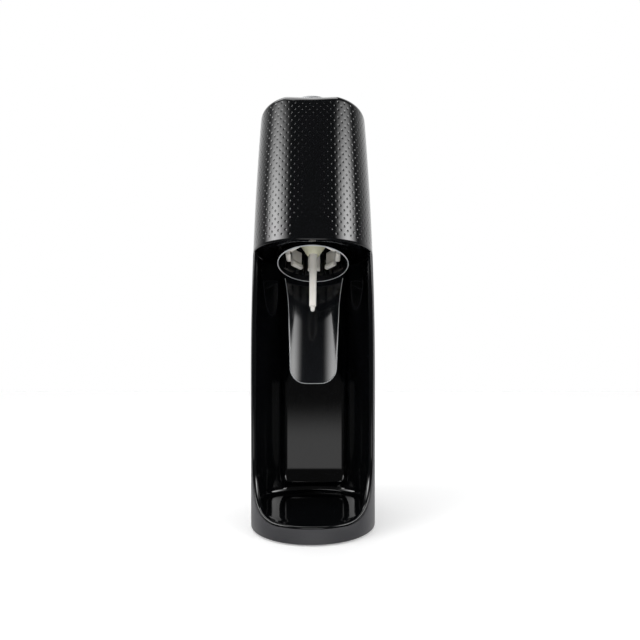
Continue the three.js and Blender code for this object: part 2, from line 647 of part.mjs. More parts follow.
// Curved plate behind the bottle: pushing the bottle against it swings the holder upright.
function bottleGuide() {
  const t = 2.2;
  const under = MOUTH_Z + 1.8;
  const over = MOUTH_Z + 4;
  const flange = [[MOUTH_R + GAP, under], [GUIDE_R + 0.6, under], [GUIDE_R + t, over - 0.4], [GUIDE_R + t, over], [MOUTH_R + GAP, over]];
  const wall = lathe([[GUIDE_R, GUIDE_END_Z - 2], [GUIDE_R + t, GUIDE_END_Z - 2], [GUIDE_R + t, over - 1], [GUIDE_R, over - 1]], 72);
  const outline = new THREE.Shape();
  const low = GUIDE_END_Z;
  outline.moveTo(-32.5, over + 1);
  outline.bezierCurveTo(-31, -34, -28, -46, -27.2, -64);
  outline.lineTo(-24.4, low + 15);
  outline.bezierCurveTo(-24, low + 5, -19, low, -8, low);
  outline.lineTo(8, low);
  outline.bezierCurveTo(19, low, 24, low + 5, 24.4, low + 15);
  outline.lineTo(27.2, -64);
  outline.bezierCurveTo(28, -46, 31, -34, 32.5, over + 1);
  const keep = prismY(outline, 5, 60, 7);
  return wall.add(lathe(flange, 72)).intersect(keep);
}

function carbonatingHead() {
  const block = lathe(
    [[6.4, 17.4], [16, 17.4], [16, 34], [12, 40], [7.5, 41], [7.5, 52], [4.6, 52], [4.6, 42], [2, 42], [2, 26], [6.4, 20]],
    28,
  );
  const port = crossRod(-24, -12, 0, 29, 4.4, 14).subtract(crossRod(-25, -10, 0, 29, 1.5, 8));
  const safety = solid(new THREE.CylinderGeometry(4.5, 4.5, 8, 14).translate(0, -17, 29));
  const safetyBore = solid(new THREE.CylinderGeometry(2.8, 2.8, 7, 12).translate(0, -18.5, 29));
  return union(block, port, safety).subtract(safetyBore);
}

// Rigid pipe from the hollow tilt pin up to the carbonating head.
function gasRiser() {
  const gland = rod(-36.5, 0, 6.3, 9, 2.6, 12);
  const pipe = tube([[-36.5, 0, 8.6], [-36.6, 0, 15], [-36.4, 0, 22], [-33, 0, 28], [-27.5, 0, 29], [-24.3, 0, 29]], 1.8, 12, 8);
  return gland.add(pipe);
}

const reliefPoppet = () =>
  lathe([[0, 42.3], [3.9, 42.3], [3.9, 44], [1.1, 44.6], [1.1, 50], [0, 50]], 16);
const reliefCap = () =>
  lathe([[1.6, 54.4], [1.6, 57], [7, 57], [9, 55.5], [9, 47], [7.8, 47], [7.8, 52.3], [1.6, 52.3]], 20);
const burstPlug = () =>
  solid(new THREE.CylinderGeometry(2.5, 2.5, 5.5, 12).translate(0, -19, 29)).add(
    solid(new THREE.CylinderGeometry(4.2, 4.2, 2, 6).translate(0, -22.4, 29)),
  );

// ---------------------------------------------------------------- assembly
const machine = new THREE.Group();
const holder = new THREE.Group(); // everything that tilts with the bottle
holder.position.copy(PIVOT);
holder.rotation.x = -TILT;
machine.add(holder);

function piece(name, manifold, material, parent = machine) {
  const mesh = new THREE.Mesh(geometryOf(manifold), MATERIALS[material]);
  mesh.name = name;
  parent.add(mesh);
}

piece("body_shell", bodyShell(), "matte");
piece("head_cover", headCover(), "gloss");
piece("head_bezel", headBezel(), "gloss");
piece("bay_liner", bayLiner(), "gloss");
piece("rear_cover", rearCover(), "matte");
piece("base_plate", basePlate(), "chassis");
for (const [name, x, y] of [["front_left", -40, -52], ["front_right", 40, -52], ["rear_left", -38, 62], ["rear_right", 38, 62]])
  piece("foot_" + name, foot(x, y), "rubber");
BASE_SCREWS.forEach(([x, y], i) => piece("base_screw_" + (i + 1), screw(x, y, 2.2, 8.5, true), "steel"));
FRAME_SCREWS.forEach(([x, y], i) => piece("frame_screw_" + (i + 1), screw(x, y, 335.2, 13, false), "steel"));

piece("mechanism_frame", mechanismFrame(), "chassis");
piece("cylinder_seat", cylinderSeat(), "brass");
piece("seat_washer", seatWasher(), "rubber");
piece("push_pin", pushPin(), "steel");
piece("gas_hose", gasHose(), "white");
piece("hose_nut", hoseNut(), "brass");
piece("hose_elbow", hoseElbow(), "brass");
piece("tilt_pin_left", tiltPin(-1), "steel");
piece("tilt_pin_right", tiltPin(1), "steel");

piece("gas_cylinder", gasCylinder(), "painted");
piece("cylinder_valve", cylinderValve(), "brass");
piece("valve_stem", valveStem(), "steel");

piece("carbonating_button", buttonCap(), "silver");
piece("button_spring", spring(0, STEM_Y, BRIDGE_Z + 3.2, HEIGHT - 6.3, 7.2, 0.8, 6), "steel");
piece("actuator_lever", actuatorLever(), "steel");
piece("lever_pin", leverPin(), "steel");
piece("latch_button", latchButton(), "matte");
piece("latch_spring", spring(0, LATCH_Y, LATCH_SHELF_Z + 0.2, 416.7, 3.4, 0.5, 5), "steel");

piece("collar", collar(), "gloss", holder);
piece("jaw_ring", jawRing(), "gloss", holder);
for (let i = 0; i < JAWS; i++) piece("jaw_" + (i + 1), jaw(i), "white", holder);
piece("bottle_seal", bottleSeal(), "seal", holder);
piece("carbonating_tube", carbonatingTube(), "white", holder);
piece("nozzle_tip", nozzleTip(), "white", holder);
piece("bottle_guide", bottleGuide(), "smoke", holder);
piece("carbonating_head", carbonatingHead(), "chassis", holder);
piece("gas_riser", gasRiser(), "steel", holder);
piece("relief_poppet", reliefPoppet(), "brass", holder);
piece("relief_spring", spring(0, 0, 45, 52, 2.6, 0.4, 4), "steel", holder);
piece("relief_cap", reliefCap(), "brass", holder);
piece("burst_plug", burstPlug(), "brass", holder);

export default machine;
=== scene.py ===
"""Looks for the manual soda carbonator: finer pieces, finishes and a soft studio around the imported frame."""

import math

import bpy
from mathutils import Matrix, Vector


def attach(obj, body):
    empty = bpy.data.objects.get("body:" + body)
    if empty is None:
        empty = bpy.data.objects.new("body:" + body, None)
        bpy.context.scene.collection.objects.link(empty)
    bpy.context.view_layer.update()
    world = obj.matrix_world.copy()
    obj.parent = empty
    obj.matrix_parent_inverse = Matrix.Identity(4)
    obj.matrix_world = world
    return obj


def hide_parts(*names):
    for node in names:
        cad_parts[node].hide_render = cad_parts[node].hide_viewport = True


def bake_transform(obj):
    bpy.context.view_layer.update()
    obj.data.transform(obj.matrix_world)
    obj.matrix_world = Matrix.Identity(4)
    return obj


bl_info = {
    "name": "Soda Carbonator",
    "version": (1, 0, 0),
    "blender": (4, 5, 0),
    "location": "View3D > Sidebar > Carbonator",
    "description": "Builds a slim manual soda carbonator piece by piece around its packed frame",
    "category": "Add Mesh",
}

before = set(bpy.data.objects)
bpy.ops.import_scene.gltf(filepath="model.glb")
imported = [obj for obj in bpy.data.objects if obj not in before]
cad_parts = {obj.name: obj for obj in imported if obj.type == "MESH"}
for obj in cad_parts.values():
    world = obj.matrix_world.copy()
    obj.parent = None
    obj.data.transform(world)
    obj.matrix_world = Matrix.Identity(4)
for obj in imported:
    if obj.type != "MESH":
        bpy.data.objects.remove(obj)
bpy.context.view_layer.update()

MM = 0.001
BEYOND = (100, 130, 450)  # a corner outside the machine, for cutting blocks
EDGE = 0.9999  # of a sheet that runs from -1 to 1

# The outer form, in millimetres, as the frame has it
END_R = 65.0
FRONT_Y = -27.5
REAR_Y = 27.5
TAPER_FROM = 150.0
TAPER = 1.5e-4
SHELL_BOTTOM = 1.5
SHELL_TOP = 421.8
TOP_FILLET = 6.0
DIP_R = 102.0
DIP_SLOPE = 0.055
DIP_FROM_Y = -20.0
DIP_FROM_Z = 398.0
WALL = 2.5
HEAD_Z = 280.2
HEAD_BACK_Y = 6.0
REAR_COVER_Y = 50.0
REAR_COVER_Z = 24.0
SEAM = 0.4

# The bay
LIP_Z = 15.5
LIP_Y = -85.0
EDGE_Y = -50.0
SWEEP_H = 60.0
SWEEP_TOP = LIP_Z + SWEEP_H
LINER_INSET = 4.8
LINER_WALL = 2.0
TROUGH_DEPTH = 36.0
CHANNEL_W = 38.0
CHANNEL_Y = 18.0
CHANNEL_SQUARENESS = 12
SCOOP_BACK = 25.0
SCOOP_SIDE = 17.0
SCOOP_DEPTH = 16.0
BLEND = 1.4  # over which the recess and the trough run into each other
FLOOR_CORNER = 5.0
FLOOR_FRONT_Z = 17.5
FLOOR_BACK_Z = 23.0
BAY_TOP = HEAD_Z - 0.3
RIM_Z = LIP_Z + 0.4
RIM_INSET = 2.45
RIM_HALF_W = 2.35
RIM_HALF_H = 1.7

# The tilting bottle holder
PIVOT = Vector((0, -29, 292.8)) * MM
TILT = math.radians(15.5)
HOLDER = Matrix.Translation(PIVOT) @ Matrix.Rotation(-TILT, 4, "X")
MOUTH_Z = -22.5
GUIDE_TOP = MOUTH_Z + 4
GUIDE_FOOT = -139.5
GUIDE_R = 43.0
GUIDE_CORNER = 14.0
GUIDE_WAIST = -64.0  # where the plate starts to flare towards the mouth
JAWS = 8
TUBE_END_Z = -69.8
TIP_END_Z = -74.9

# The smooth patch low on the cover's front, up from its lower edge
PLAIN_FROM = 5.0
PLAIN_TO = 21.0

# The button in the top
BUTTON_Y = -39.5
BUTTON_HALF_W = 25.0
BUTTON_HALF_L = 33.0
BUTTON_GAP = 0.6


# ------------------------------------------------------------------ small tools
def clear():
    """Nothing selected, and object mode."""
    if bpy.context.object and bpy.context.object.mode != "OBJECT":
        bpy.ops.object.mode_set(mode="OBJECT")
    bpy.ops.object.select_all(action="DESELECT")


def take(obj):
    """obj alone selected and active."""
    clear()
    obj.hide_set(False)
    obj.select_set(True)
    bpy.context.view_layer.objects.active = obj


def named(name):
    """The primitive just added, under its own name."""
    obj = bpy.context.active_object
    obj.name = name
    obj.data.name = name
    return obj


def edit(obj, select=None):
    """Edit mode on obj with the faces picked that select(face) accepts, or all of them."""
    take(obj)
    for polygon in obj.data.polygons:
        polygon.select = select is None or select(polygon)
    if select is not None:
        picked = {v for p in obj.data.polygons if p.select for v in p.vertices}
        for vertex in obj.data.vertices:
            vertex.select = vertex.index in picked
        for edge in obj.data.edges:
            edge.select = False
    bpy.ops.object.mode_set(mode="EDIT")
    bpy.ops.mesh.select_mode(type="FACE")
    if select is None:
        bpy.ops.mesh.select_all(action="SELECT")


def done():
    """Back to object mode."""
    bpy.ops.object.mode_set(mode="OBJECT")


def close_up(obj, distance=1e-6):
    """Merges what lies on one point and turns every face outwards."""
    edit(obj)
    bpy.ops.mesh.remove_doubles(threshold=distance)
    bpy.ops.mesh.dissolve_degenerate(threshold=distance)
    bpy.ops.mesh.select_all(action="SELECT")
    bpy.ops.mesh.normals_make_consistent(inside=False)
    done()


def modify(obj, kind, **settings):
    """Adds a modifier with its settings and applies it."""
    take(obj)
    modifier = obj.modifiers.new(kind.title(), kind)
    for key, value in settings.items():
        setattr(modifier, key, value)
    bpy.ops.object.modifier_apply(modifier=modifier.name)


def round_edges(obj, width, segments=2, angle=40):
    """Rounds the edges sharper than angle, by width in millimetres."""
    limit = {"limit_method": "ANGLE", "angle_limit": math.radians(angle), "use_clamp_overlap": True}
    modify(obj, "BEVEL", width=width * MM, segments=segments, harden_normals=False, **limit)


def cap_ends(obj):
    """Closes the open ends of a tube."""
    take(obj)
    bpy.ops.object.mode_set(mode="EDIT")
    bpy.ops.mesh.select_mode(type="EDGE")
    bpy.ops.mesh.select_all(action="DESELECT")
    bpy.ops.mesh.select_non_manifold()
    bpy.ops.mesh.fill()
    done()
    close_up(obj)


def smooth(obj, angle=35):
    take(obj)
    bpy.ops.object.shade_smooth_by_angle(angle=math.radians(angle), keep_sharp_edges=False)


def finished(obj, body, slot, *nodes, angle=35, finish_name=None):
    """Shading, finish and place in the frame of a finished piece; one without a body is left unattached."""
    smooth(obj, angle)
    obj.data.materials.clear()
    obj.data.materials.append(look(finish_name or slot))
    if body:
        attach(obj, body)
    if nodes:
        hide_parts(*nodes)
    return obj


def sheet(name, columns, rows, thick=True):
    """A flat grid from -1 to 1, with a second skin one unit below it when thick."""
    clear()
    bpy.ops.mesh.primitive_grid_add(x_subdivisions=columns, y_subdivisions=rows, size=2)
    obj = named(name)
    if thick:
        edit(obj)
        bpy.ops.mesh.extrude_region_move(TRANSFORM_OT_translate={"value": (0, 0, -1)})
        bpy.ops.mesh.select_all(action="SELECT")
        bpy.ops.mesh.normals_make_consistent(inside=False)
        done()
    return obj


def drop_faces(obj, select):
    edit(obj, select)
    bpy.ops.mesh.delete(type="FACE")
    done()


def open_ends(obj):
    """Takes off the two end walls across x, so that the sheet can be wrapped into a ring."""
    at = obj.data.vertices
    drop_faces(obj, lambda p: all(abs(at[i].co.x) > EDGE for i in p.vertices) and abs(p.normal.x) > 0.5)


def wrap(obj, formula):
    """Moves every point of obj to formula(x, y, z), which gives millimetres."""
    for vertex in obj.data.vertices:
        vertex.co = Vector(formula(*vertex.co)) * MM
    close_up(obj)


def thicken(obj, wall, seen_from, near):
    """Gives an open skin a wall on its hidden side: the face nearest to near is looked at from seen_from."""
    face = min(obj.data.polygons, key=lambda p: (p.center - near * MM).length)
    if face.normal.dot(seen_from) < 0:
        edit(obj)
        bpy.ops.mesh.flip_normals()
        done()
    modify(obj, "SOLIDIFY", thickness=wall * MM, offset=-1, use_even_offset=False, use_rim=True)


def turned(name, outline, steps=72):
    """A closed outline of (radius, height) in millimetres, spun about Z."""
    clear()
    bpy.ops.mesh.primitive_circle_add(vertices=len(outline), radius=1, fill_type="NOTHING")
    obj = named(name)
    for vertex, (r, z) in zip(obj.data.vertices, outline):
        vertex.co = (r * MM, 0, z * MM)
    take(obj)
    bpy.ops.object.mode_set(mode="EDIT")
    bpy.ops.mesh.select_mode(type="VERT")
    bpy.ops.mesh.select_all(action="SELECT")
    bpy.ops.mesh.spin(steps=steps, angle=2 * math.pi, center=(0, 0, 0), axis=(0, 0, 1))
    done()
    close_up(obj, 2e-6)
    return obj


def block(name, low, high):
    """A box from its lowest to its highest corner, in millimetres."""
    clear()
    middle = [(a + b) / 2 * MM for a, b in zip(low, high)]
    bpy.ops.mesh.primitive_cube_add(size=1, location=middle)
    obj = named(name)
    obj.scale = [(b - a) * MM for a, b in zip(low, high)]
    bpy.ops.object.transform_apply(location=True, rotation=True, scale=True)
    return obj


def cut(obj, tool, operation="DIFFERENCE"):
    modify(obj, "BOOLEAN", operation=operation, object=tool, solver="EXACT")
    bpy.data.objects.remove(tool)


def join(first, *others):
    take(first)
    for obj in others:
        obj.select_set(True)
    bpy.context.view_layer.objects.active = first
    bpy.ops.object.join()
    return first


def copy_of(node):
    """A merged copy of a frame node, with its flat faces whole again."""
    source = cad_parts[node]
    take(source)
    bpy.ops.object.duplicate()
    obj = named(node + "_fine")
    obj.parent = None
    obj.matrix_world = Matrix.Identity(4)
    for key in list(obj.keys()):
        del obj[key]
    edit(obj)
    bpy.ops.mesh.remove_doubles(threshold=2e-6)
    bpy.ops.mesh.select_all(action="SELECT")
    bpy.ops.mesh.dissolve_limited(angle_limit=math.radians(0.6))
    done()
    return obj


def ease(t):
    t = min(max(t, 0.0), 1.0)
    return t * t * (3 - 2 * t)


def mix(a, b, t):
    return a + (b - a) * t


# ------------------------------------------------------------------ the outer form
def half_width(z):
    """Half the casing's width at a height."""
    return END_R - TAPER * max(0.0, z - TAPER_FROM) ** 2


def squareness(z):
    """Power of the superellipse that rounds the casing's ends: 2 is a circle."""
    return 2.05 + 0.35 * z / SHELL_TOP


def dip(x, y, z):
    """How far the dished front of the top lowers a point; it fades out down the wall."""
    full = max(0.0, DIP_SLOPE * (DIP_FROM_Y - y) - x * x / (2 * DIP_R))
    share = (z - DIP_FROM_Z) / (SHELL_TOP - TOP_FILLET - DIP_FROM_Z)
    return full * ease(share)


def end_point(w, n, a):
    """Point of a unit end at angle a from its axis, scaled to half width w: across and along."""
    s, c = math.sin(a), math.cos(a)
    return (
        math.copysign(w * abs(s) ** (2 / n), s),
        math.copysign(w * abs(c) ** (2 / n), c),
    )


PLAN_STEPS = 240
plans = {}


def plan(z, inset):
    """The plan's right half at a height, from the front's middle to the back's: points, lengths so far."""
    key = (round(z, 2), round(inset, 3))
    if key not in plans:
        w, n = half_width(z) - inset, squareness(z)
        points = []
        for i in range(PLAN_STEPS + 1):
            x, y = end_point(w, n, math.pi / 2 * i / PLAN_STEPS)
            points.append((x, FRONT_Y - y))
        for i in range(PLAN_STEPS + 1):
            x, y = end_point(w, n, math.pi / 2 * (1 - i / PLAN_STEPS))
            points.append((x, REAR_Y + y))
        lengths = [0.0]
        for a, b in zip(points, points[1:]):
            lengths.append(lengths[-1] + math.dist(a, b))
        plans[key] = (points, lengths)
    return plans[key]


def along(line, target):
    """Point and outward normal on the plan's right half, at a length from the front's middle."""
    points, lengths = line
    low, high = 0, len(lengths) - 1
    while high - low > 1:
        middle = (low + high) // 2
        if lengths[middle] <= target:
            low = middle
        else:
            high = middle
    span = max(lengths[high] - lengths[low], 1e-9)
    t = min(max((target - lengths[low]) / span, 0.0), 1.0)
    (ax, ay), (bx, by) = points[low], points[high]
    a0 = points[max(low - 1, 0)]
    b0 = points[min(high + 1, len(points) - 1)]
    dx, dy = b0[0] - a0[0], b0[1] - a0[1]
    size = math.hypot(dx, dy) or 1.0
    nx, ny = dy / size, -dx / size
    if low == 0 and t < 0.5:
        nx, ny = 0.0, -1.0
    if high == len(points) - 1 and t > 0.5:
        nx, ny = 0.0, 1.0
    return mix(ax, bx, t), mix(ay, by, t), nx, ny


def length_to(z, inset, y):
    """Length along the plan's right half from the front's middle to a given y."""
    points, lengths = plan(z, inset)
    for (_, a), (_, b), la, lb in zip(points, points[1:], lengths, lengths[1:]):
        if a <= y <= b and b > a:
            return mix(la, lb, (y - a) / (b - a))
    return lengths[-1]


def skin(z, inset, share, side, depth, lean):
    """A point of the casing, a share of the way round one side, sunk by depth where the skin leans."""
    line = plan(z, inset)
    x, y, nx, ny = along(line, share * line[1][-1])
    sink = depth * math.cos(lean)
    x, y = x - nx * sink, y - ny * sink
    return side * x, y, z - depth * math.sin(lean) - dip(x, y, z)


def fillet(lean):
    """Height and inset on the top's fillet, where the skin leans inwards by an angle."""
    return SHELL_TOP - TOP_FILLET + TOP_FILLET * math.sin(lean), TOP_FILLET * (1 - math.cos(lean))


# ------------------------------------------------------------------ finishes
def linear(hex_colour):
    """An sRGB hex colour as linear RGBA."""
    values = [int(hex_colour[i : i + 2], 16) / 255 for i in (1, 3, 5)]
    return [v / 12.92 if v <= 0.04045 else ((v + 0.055) / 1.055) ** 2.4 for v in values] + [1.0]


def add(tree, kind, settings=None, *feeds, **links):
    """Adds a node: settings are properties or input values, feeds go to inputs in order, links by name."""
    made = tree.nodes.new("ShaderNode" + kind)
    for key, value in (settings or {}).items():
        if isinstance(key, int) or key in made.inputs:
            made.inputs[key].default_value = value
        else:
            setattr(made, key, value)
    for place, socket in enumerate(feeds):
        tree.links.new(socket, made.inputs[place])
    for key, socket in links.items():
        tree.links.new(socket, made.inputs[key.replace("_", " ")])
    return made


def per_mm(size):
    """Texture scale for features of that many millimetres, in a scene in metres."""
    return 1000 / size


def finish(name, colour, textures, shades, rough, bump, plain):
    """A material from the facts of a row of FINISHES."""
    material = bpy.data.materials.new(name)
    material.use_nodes = True
    material.diffuse_color = linear(colour)
    tree = material.node_tree
    bsdf = tree.nodes["Principled BSDF"]
    for key, value in {"Base Color": linear(colour), **plain}.items():
        bsdf.inputs[key].default_value = value
    where = add(tree, "TexCoord").outputs["Object"]
    made = {
        key: add(tree, "Tex" + kind, {"Scale": per_mm(size), **settings}, Vector=where)
        for key, (kind, size, settings) in textures.items()
    }

    def output(place):
        key, _, socket = place.partition(" ")
        return made[key].outputs[socket or "Fac"]

    place, *pair = shades
    ramp = add(tree, "ValToRGB", Fac=output(place))
    for element, shade in zip(ramp.color_ramp.elements, pair):
        element.color = linear(shade)
    tree.links.new(ramp.outputs["Color"], bsdf.inputs["Base Color"])
    if rough:
        place, low, high = rough
        span = {"From Min": 0.3, "From Max": 0.7, "To Min": low, "To Max": high}
        drift = add(tree, "MapRange", span, Value=output(place))
        tree.links.new(drift.outputs["Result"], bsdf.inputs["Roughness"])
    if bump:
        place, strength, depth = bump
        relief = add(tree, "Bump", {"Strength": strength, "Distance": depth * MM}, Height=output(place))
        tree.links.new(relief.outputs["Normal"], bsdf.inputs["Normal"])
    return material


SOFT = {"Detail": 2.0}
MIXED = {"Detail": 3.0}
BUSY = {"Detail": 4.0}
# A turned metal's fine rings, which stretch its highlights: one ring in 0.3 mm along its axis
ALONG_Z = {"wave_type": "BANDS", "bands_direction": "Z", "Distortion": 1.0, **SOFT}
RINGS = {"rings": ("Wave", 0.3 * 6.28, ALONG_Z)}

# By slot, or by a key of its own where a finish differs from its slot's: name, colour, textures (kind, size
# in mm, settings), the texture and two colours that the surface drifts between, the texture and range of its
# roughness, the texture, strength and depth in mm of its relief, and the shader's plain values.
FINISHES = {
    # Polished ABS moulding: deep black, sharp reflections, and the slightest ripple left by the mould's flow.
    "gloss_black": (
        "piano_black_abs", "#07080A", {"flow": ("Noise", 14, SOFT), "wear": ("Noise", 2.5, BUSY)},
        ("flow", "#050608", "#0A0B0D"), ("wear", 0.05, 0.10), ("flow", 0.10, 0.05),
        {"Roughness": 0.07, "IOR": 1.53, "Coat Weight": 0.15, "Coat Roughness": 0.04},
    ),
    # ABS from a spark-eroded mould: an even satin, with a grain of about 0.4 mm that breaks up highlights.
    "matte_charcoal": (
        "spark_grained_abs", "#3F3F42", {"grain": ("Noise", 0.45, MIXED), "cloud": ("Noise", 40, SOFT)},
        ("cloud", "#39393C", "#454548"), ("grain", 0.42, 0.58), ("grain", 0.35, 0.06),
        {"Roughness": 0.5, "IOR": 1.5},
    ),
    # Smoke-tinted polycarbonate, deep enough to read as solid: a little greyer than the casing, hard gloss.
    "smoke_gloss": (
        "smoked_polycarbonate", "#121417", {"haze": ("Noise", 30, SOFT)},
        ("haze", "#0E0F12", "#16181B"), ("haze", 0.09, 0.16), None,
        {"Roughness": 0.12, "IOR": 1.5},
    ),
    # Painted highlight for the smoked polycarbonate's polished edges: a pale colour stands in for the bright
    # reflection along them.
    "edge": (
        "painted_highlight_edge", "#C9CDD0", {"drift": ("Noise", 12, SOFT)},
        ("drift", "#A9AEB2", "#E4E7E9"), ("drift", 0.08, 0.18), None,
        {"Roughness": 0.12, "IOR": 1.58},
    ),
    # Moulded acetal: milky white, a waxy sheen, and light that soaks in a little way.
    "white_plastic": (
        "white_acetal", "#E9E6E0", {"milk": ("Noise", 9, MIXED), "fine": ("Noise", 0.8, SOFT)},
        ("milk", "#E2DED6", "#EFEDE8"), ("fine", 0.28, 0.42), ("fine", 0.08, 0.03),
        {"Roughness": 0.34, "IOR": 1.48, "Subsurface Weight": 0.15, "Subsurface Scale": 0.5,
         "Subsurface Radius": (0.002, 0.0018, 0.0015)},
    ),
    # Food-grade silicone: matt, faintly yellow-green, softly glowing where it is thin.
    "ivory_silicone": (
        "ivory_silicone", "#D9D8BE", {"bloom": ("Noise", 1.2, MIXED)},
        ("bloom", "#CFCEB0", "#E2E1CC"), ("bloom", 0.48, 0.62), ("bloom", 0.12, 0.04),
        {"Roughness": 0.55, "IOR": 1.43, "Subsurface Weight": 0.25,
         "Subsurface Radius": (0.003, 0.0028, 0.002)},
    ),
    # Carbon-filled rubber: nearly black, dry, with a pebbled skin about 0.7 mm across.
    "black_rubber": (
        "moulded_rubber", "#191919", {"pebble": ("Voronoi", 0.7, {}), "dust": ("Noise", 6, BUSY)},
        ("dust", "#151515", "#232322"), ("dust", 0.78, 0.92), ("pebble Distance", 0.3, 0.08),
        {"Roughness": 0.85, "IOR": 1.5},
    ),
    # Glass-filled nylon: dark, matt, with pale fibre flecks about half a millimetre long.
    "chassis_black": (
        "glass_filled_nylon", "#2A2B2D", {"fibre": ("Noise", 0.5, {**SOFT, "Distortion": 1.5})},
        ("fibre", "#222325", "#35373A"), ("fibre", 0.5, 0.7), ("fibre", 0.25, 0.05),
        {"Roughness": 0.6, "IOR": 1.52},
    ),
    # Steel off a lathe: cool grey, ringed.
    "steel": (
        "turned_steel", "#C4C5C8", RINGS, ("rings", "#A6A7AA", "#C4C5C8"), ("rings", 0.22, 0.36),
        ("rings", 0.08, 0.02), {"Metallic": 1.0, "Roughness": 0.28},
    ),
    # Brass off a lathe: warm yellow, ringed, a shade brighter than the steel.
    "brass": (
        "turned_brass", "#D3B06A", RINGS, ("rings", "#B08C45", "#D3B06A"), ("rings", 0.20, 0.34),
        ("rings", 0.08, 0.02), {"Metallic": 1.0, "Roughness": 0.26},
    ),
    # Metallic lacquer over ABS: pale grey, with fine flakes under a satin clear coat.
    "button_silver": (
        "satin_silver_lacquer", "#C9CBCD", {"flake": ("Voronoi", 0.25, {})},
        ("flake Color", "#BFC1C4", "#D6D8DA"), ("flake Distance", 0.26, 0.38), None,
        {"Metallic": 0.55, "Roughness": 0.32, "IOR": 1.5, "Coat Weight": 0.3, "Coat Roughness": 0.15},
    ),
    # Baked enamel on an aluminium cylinder: pale grey gloss with a slight orange peel.
    "cylinder_paint": (
        "cylinder_enamel", "#CBD0D5", {"peel": ("Noise", 1.6, SOFT), "scuff": ("Noise", 22, {"Detail": 6.0})},
        ("scuff", "#C2C7CC", "#D4D8DC"), ("scuff", 0.24, 0.38), ("peel", 0.12, 0.05),
        {"Roughness": 0.3, "IOR": 1.5},
    ),
    # Extruded polyurethane hose: off-white, with a faint 1.5 mm ripple.
    "hose": (
        "hose_polyurethane", "#DAD7CE", {"ripple": ("Noise", 1.5, MIXED)},
        ("ripple", "#D0CCC1", "#E3E0D8"), ("ripple", 0.38, 0.52), ("ripple", 0.2, 0.08),
        {"Roughness": 0.45, "IOR": 1.5},
    ),
    # Studio backdrop paper: very pale, dead matt, and lit a little from below as paper on a light table is.
    "paper": (
        "paper_sweep", "#F4F4F4", {"fibre": ("Noise", 3, MIXED)}, ("fibre", "#F2F2F2", "#F6F6F6"), None, None,
        {"Roughness": 0.9, "Emission Strength": 0.30, "Emission Color": (1, 1, 1, 1)},
    ),
}
FINISH_OF = {"gas_hose": "hose"}
materials = {}


def look(name):
    """Each finish is made once, when a piece first needs it."""
    if name not in materials:
        materials[name] = finish(*FINISHES[name])
    return materials[name]


# The side softboxes: direction of the middle and half width, in degrees from the front, right is positive
SOFTBOXES = ((-64, 33), (60, 28))
LENS_SHIFT = (-0.0116, 0.0813)


# ------------------------------------------------------------------ sizes a user would change
class HeadSettings(bpy.types.PropertyGroup):
    """The dimpled cover."""

    pitch: bpy.props.FloatProperty(
        name="Dimple pitch", description="Distance between dimples in one row, mm", default=7.2, min=4
    )
    row: bpy.props.FloatProperty(
        name="Row height", description="Distance from one staggered row to the next, mm", default=3.85, min=2
    )
    dimple: bpy.props.FloatProperty(name="Dimple", description="Width of a dimple, mm", default=1.4, min=0.5)
    depth: bpy.props.FloatProperty(name="Depth", description="Depth of a dimple, mm", default=0.22, min=0.1)
    plain_w: bpy.props.FloatProperty(
        name="Plain patch", description="Half width of the smooth patch low on the front, mm", default=17.0
    )


class HolderSettings(bpy.types.PropertyGroup):
    """The tilting bottle holder."""

    mouth_r: bpy.props.FloatProperty(name="Mouth", description="Radius of the mouth ring, mm", default=37.3)
    ribs: bpy.props.IntProperty(name="Rib pairs", description="Thin ribs inside the collar", default=8, min=4)


class StageSettings(bpy.types.PropertyGroup):
    """Camera and studio."""

    distance: bpy.props.FloatProperty(
        name="Distance", description="Camera to the middle of the machine", default=0.4775, unit="LENGTH"
    )
    height: bpy.props.FloatProperty(
        name="Height", description="Camera above the table", default=0.159, unit="LENGTH"
    )
    focal: bpy.props.FloatProperty(name="Focal length", description="Lens, mm on 36 mm", default=23.8)
    aside: bpy.props.FloatProperty(
        name="Aside", description="Camera to the right of the machine's middle", default=0.015, unit="LENGTH"
    )
    softbox: bpy.props.FloatProperty(name="Softboxes", description="Radiance at each side", default=9.0)
    backdrop: bpy.props.FloatProperty(name="Backdrop", description="Radiance of the white back", default=1.0)
    room: bpy.props.FloatProperty(name="Room", description="Radiance of the dark room in front", default=0.06)
    card: bpy.props.FloatProperty(name="Card", description="Radiance of the pale card in front", default=0.9)
    top_power: bpy.props.FloatProperty(name="Top light", description="Soft light overhead, W", default=8.0)


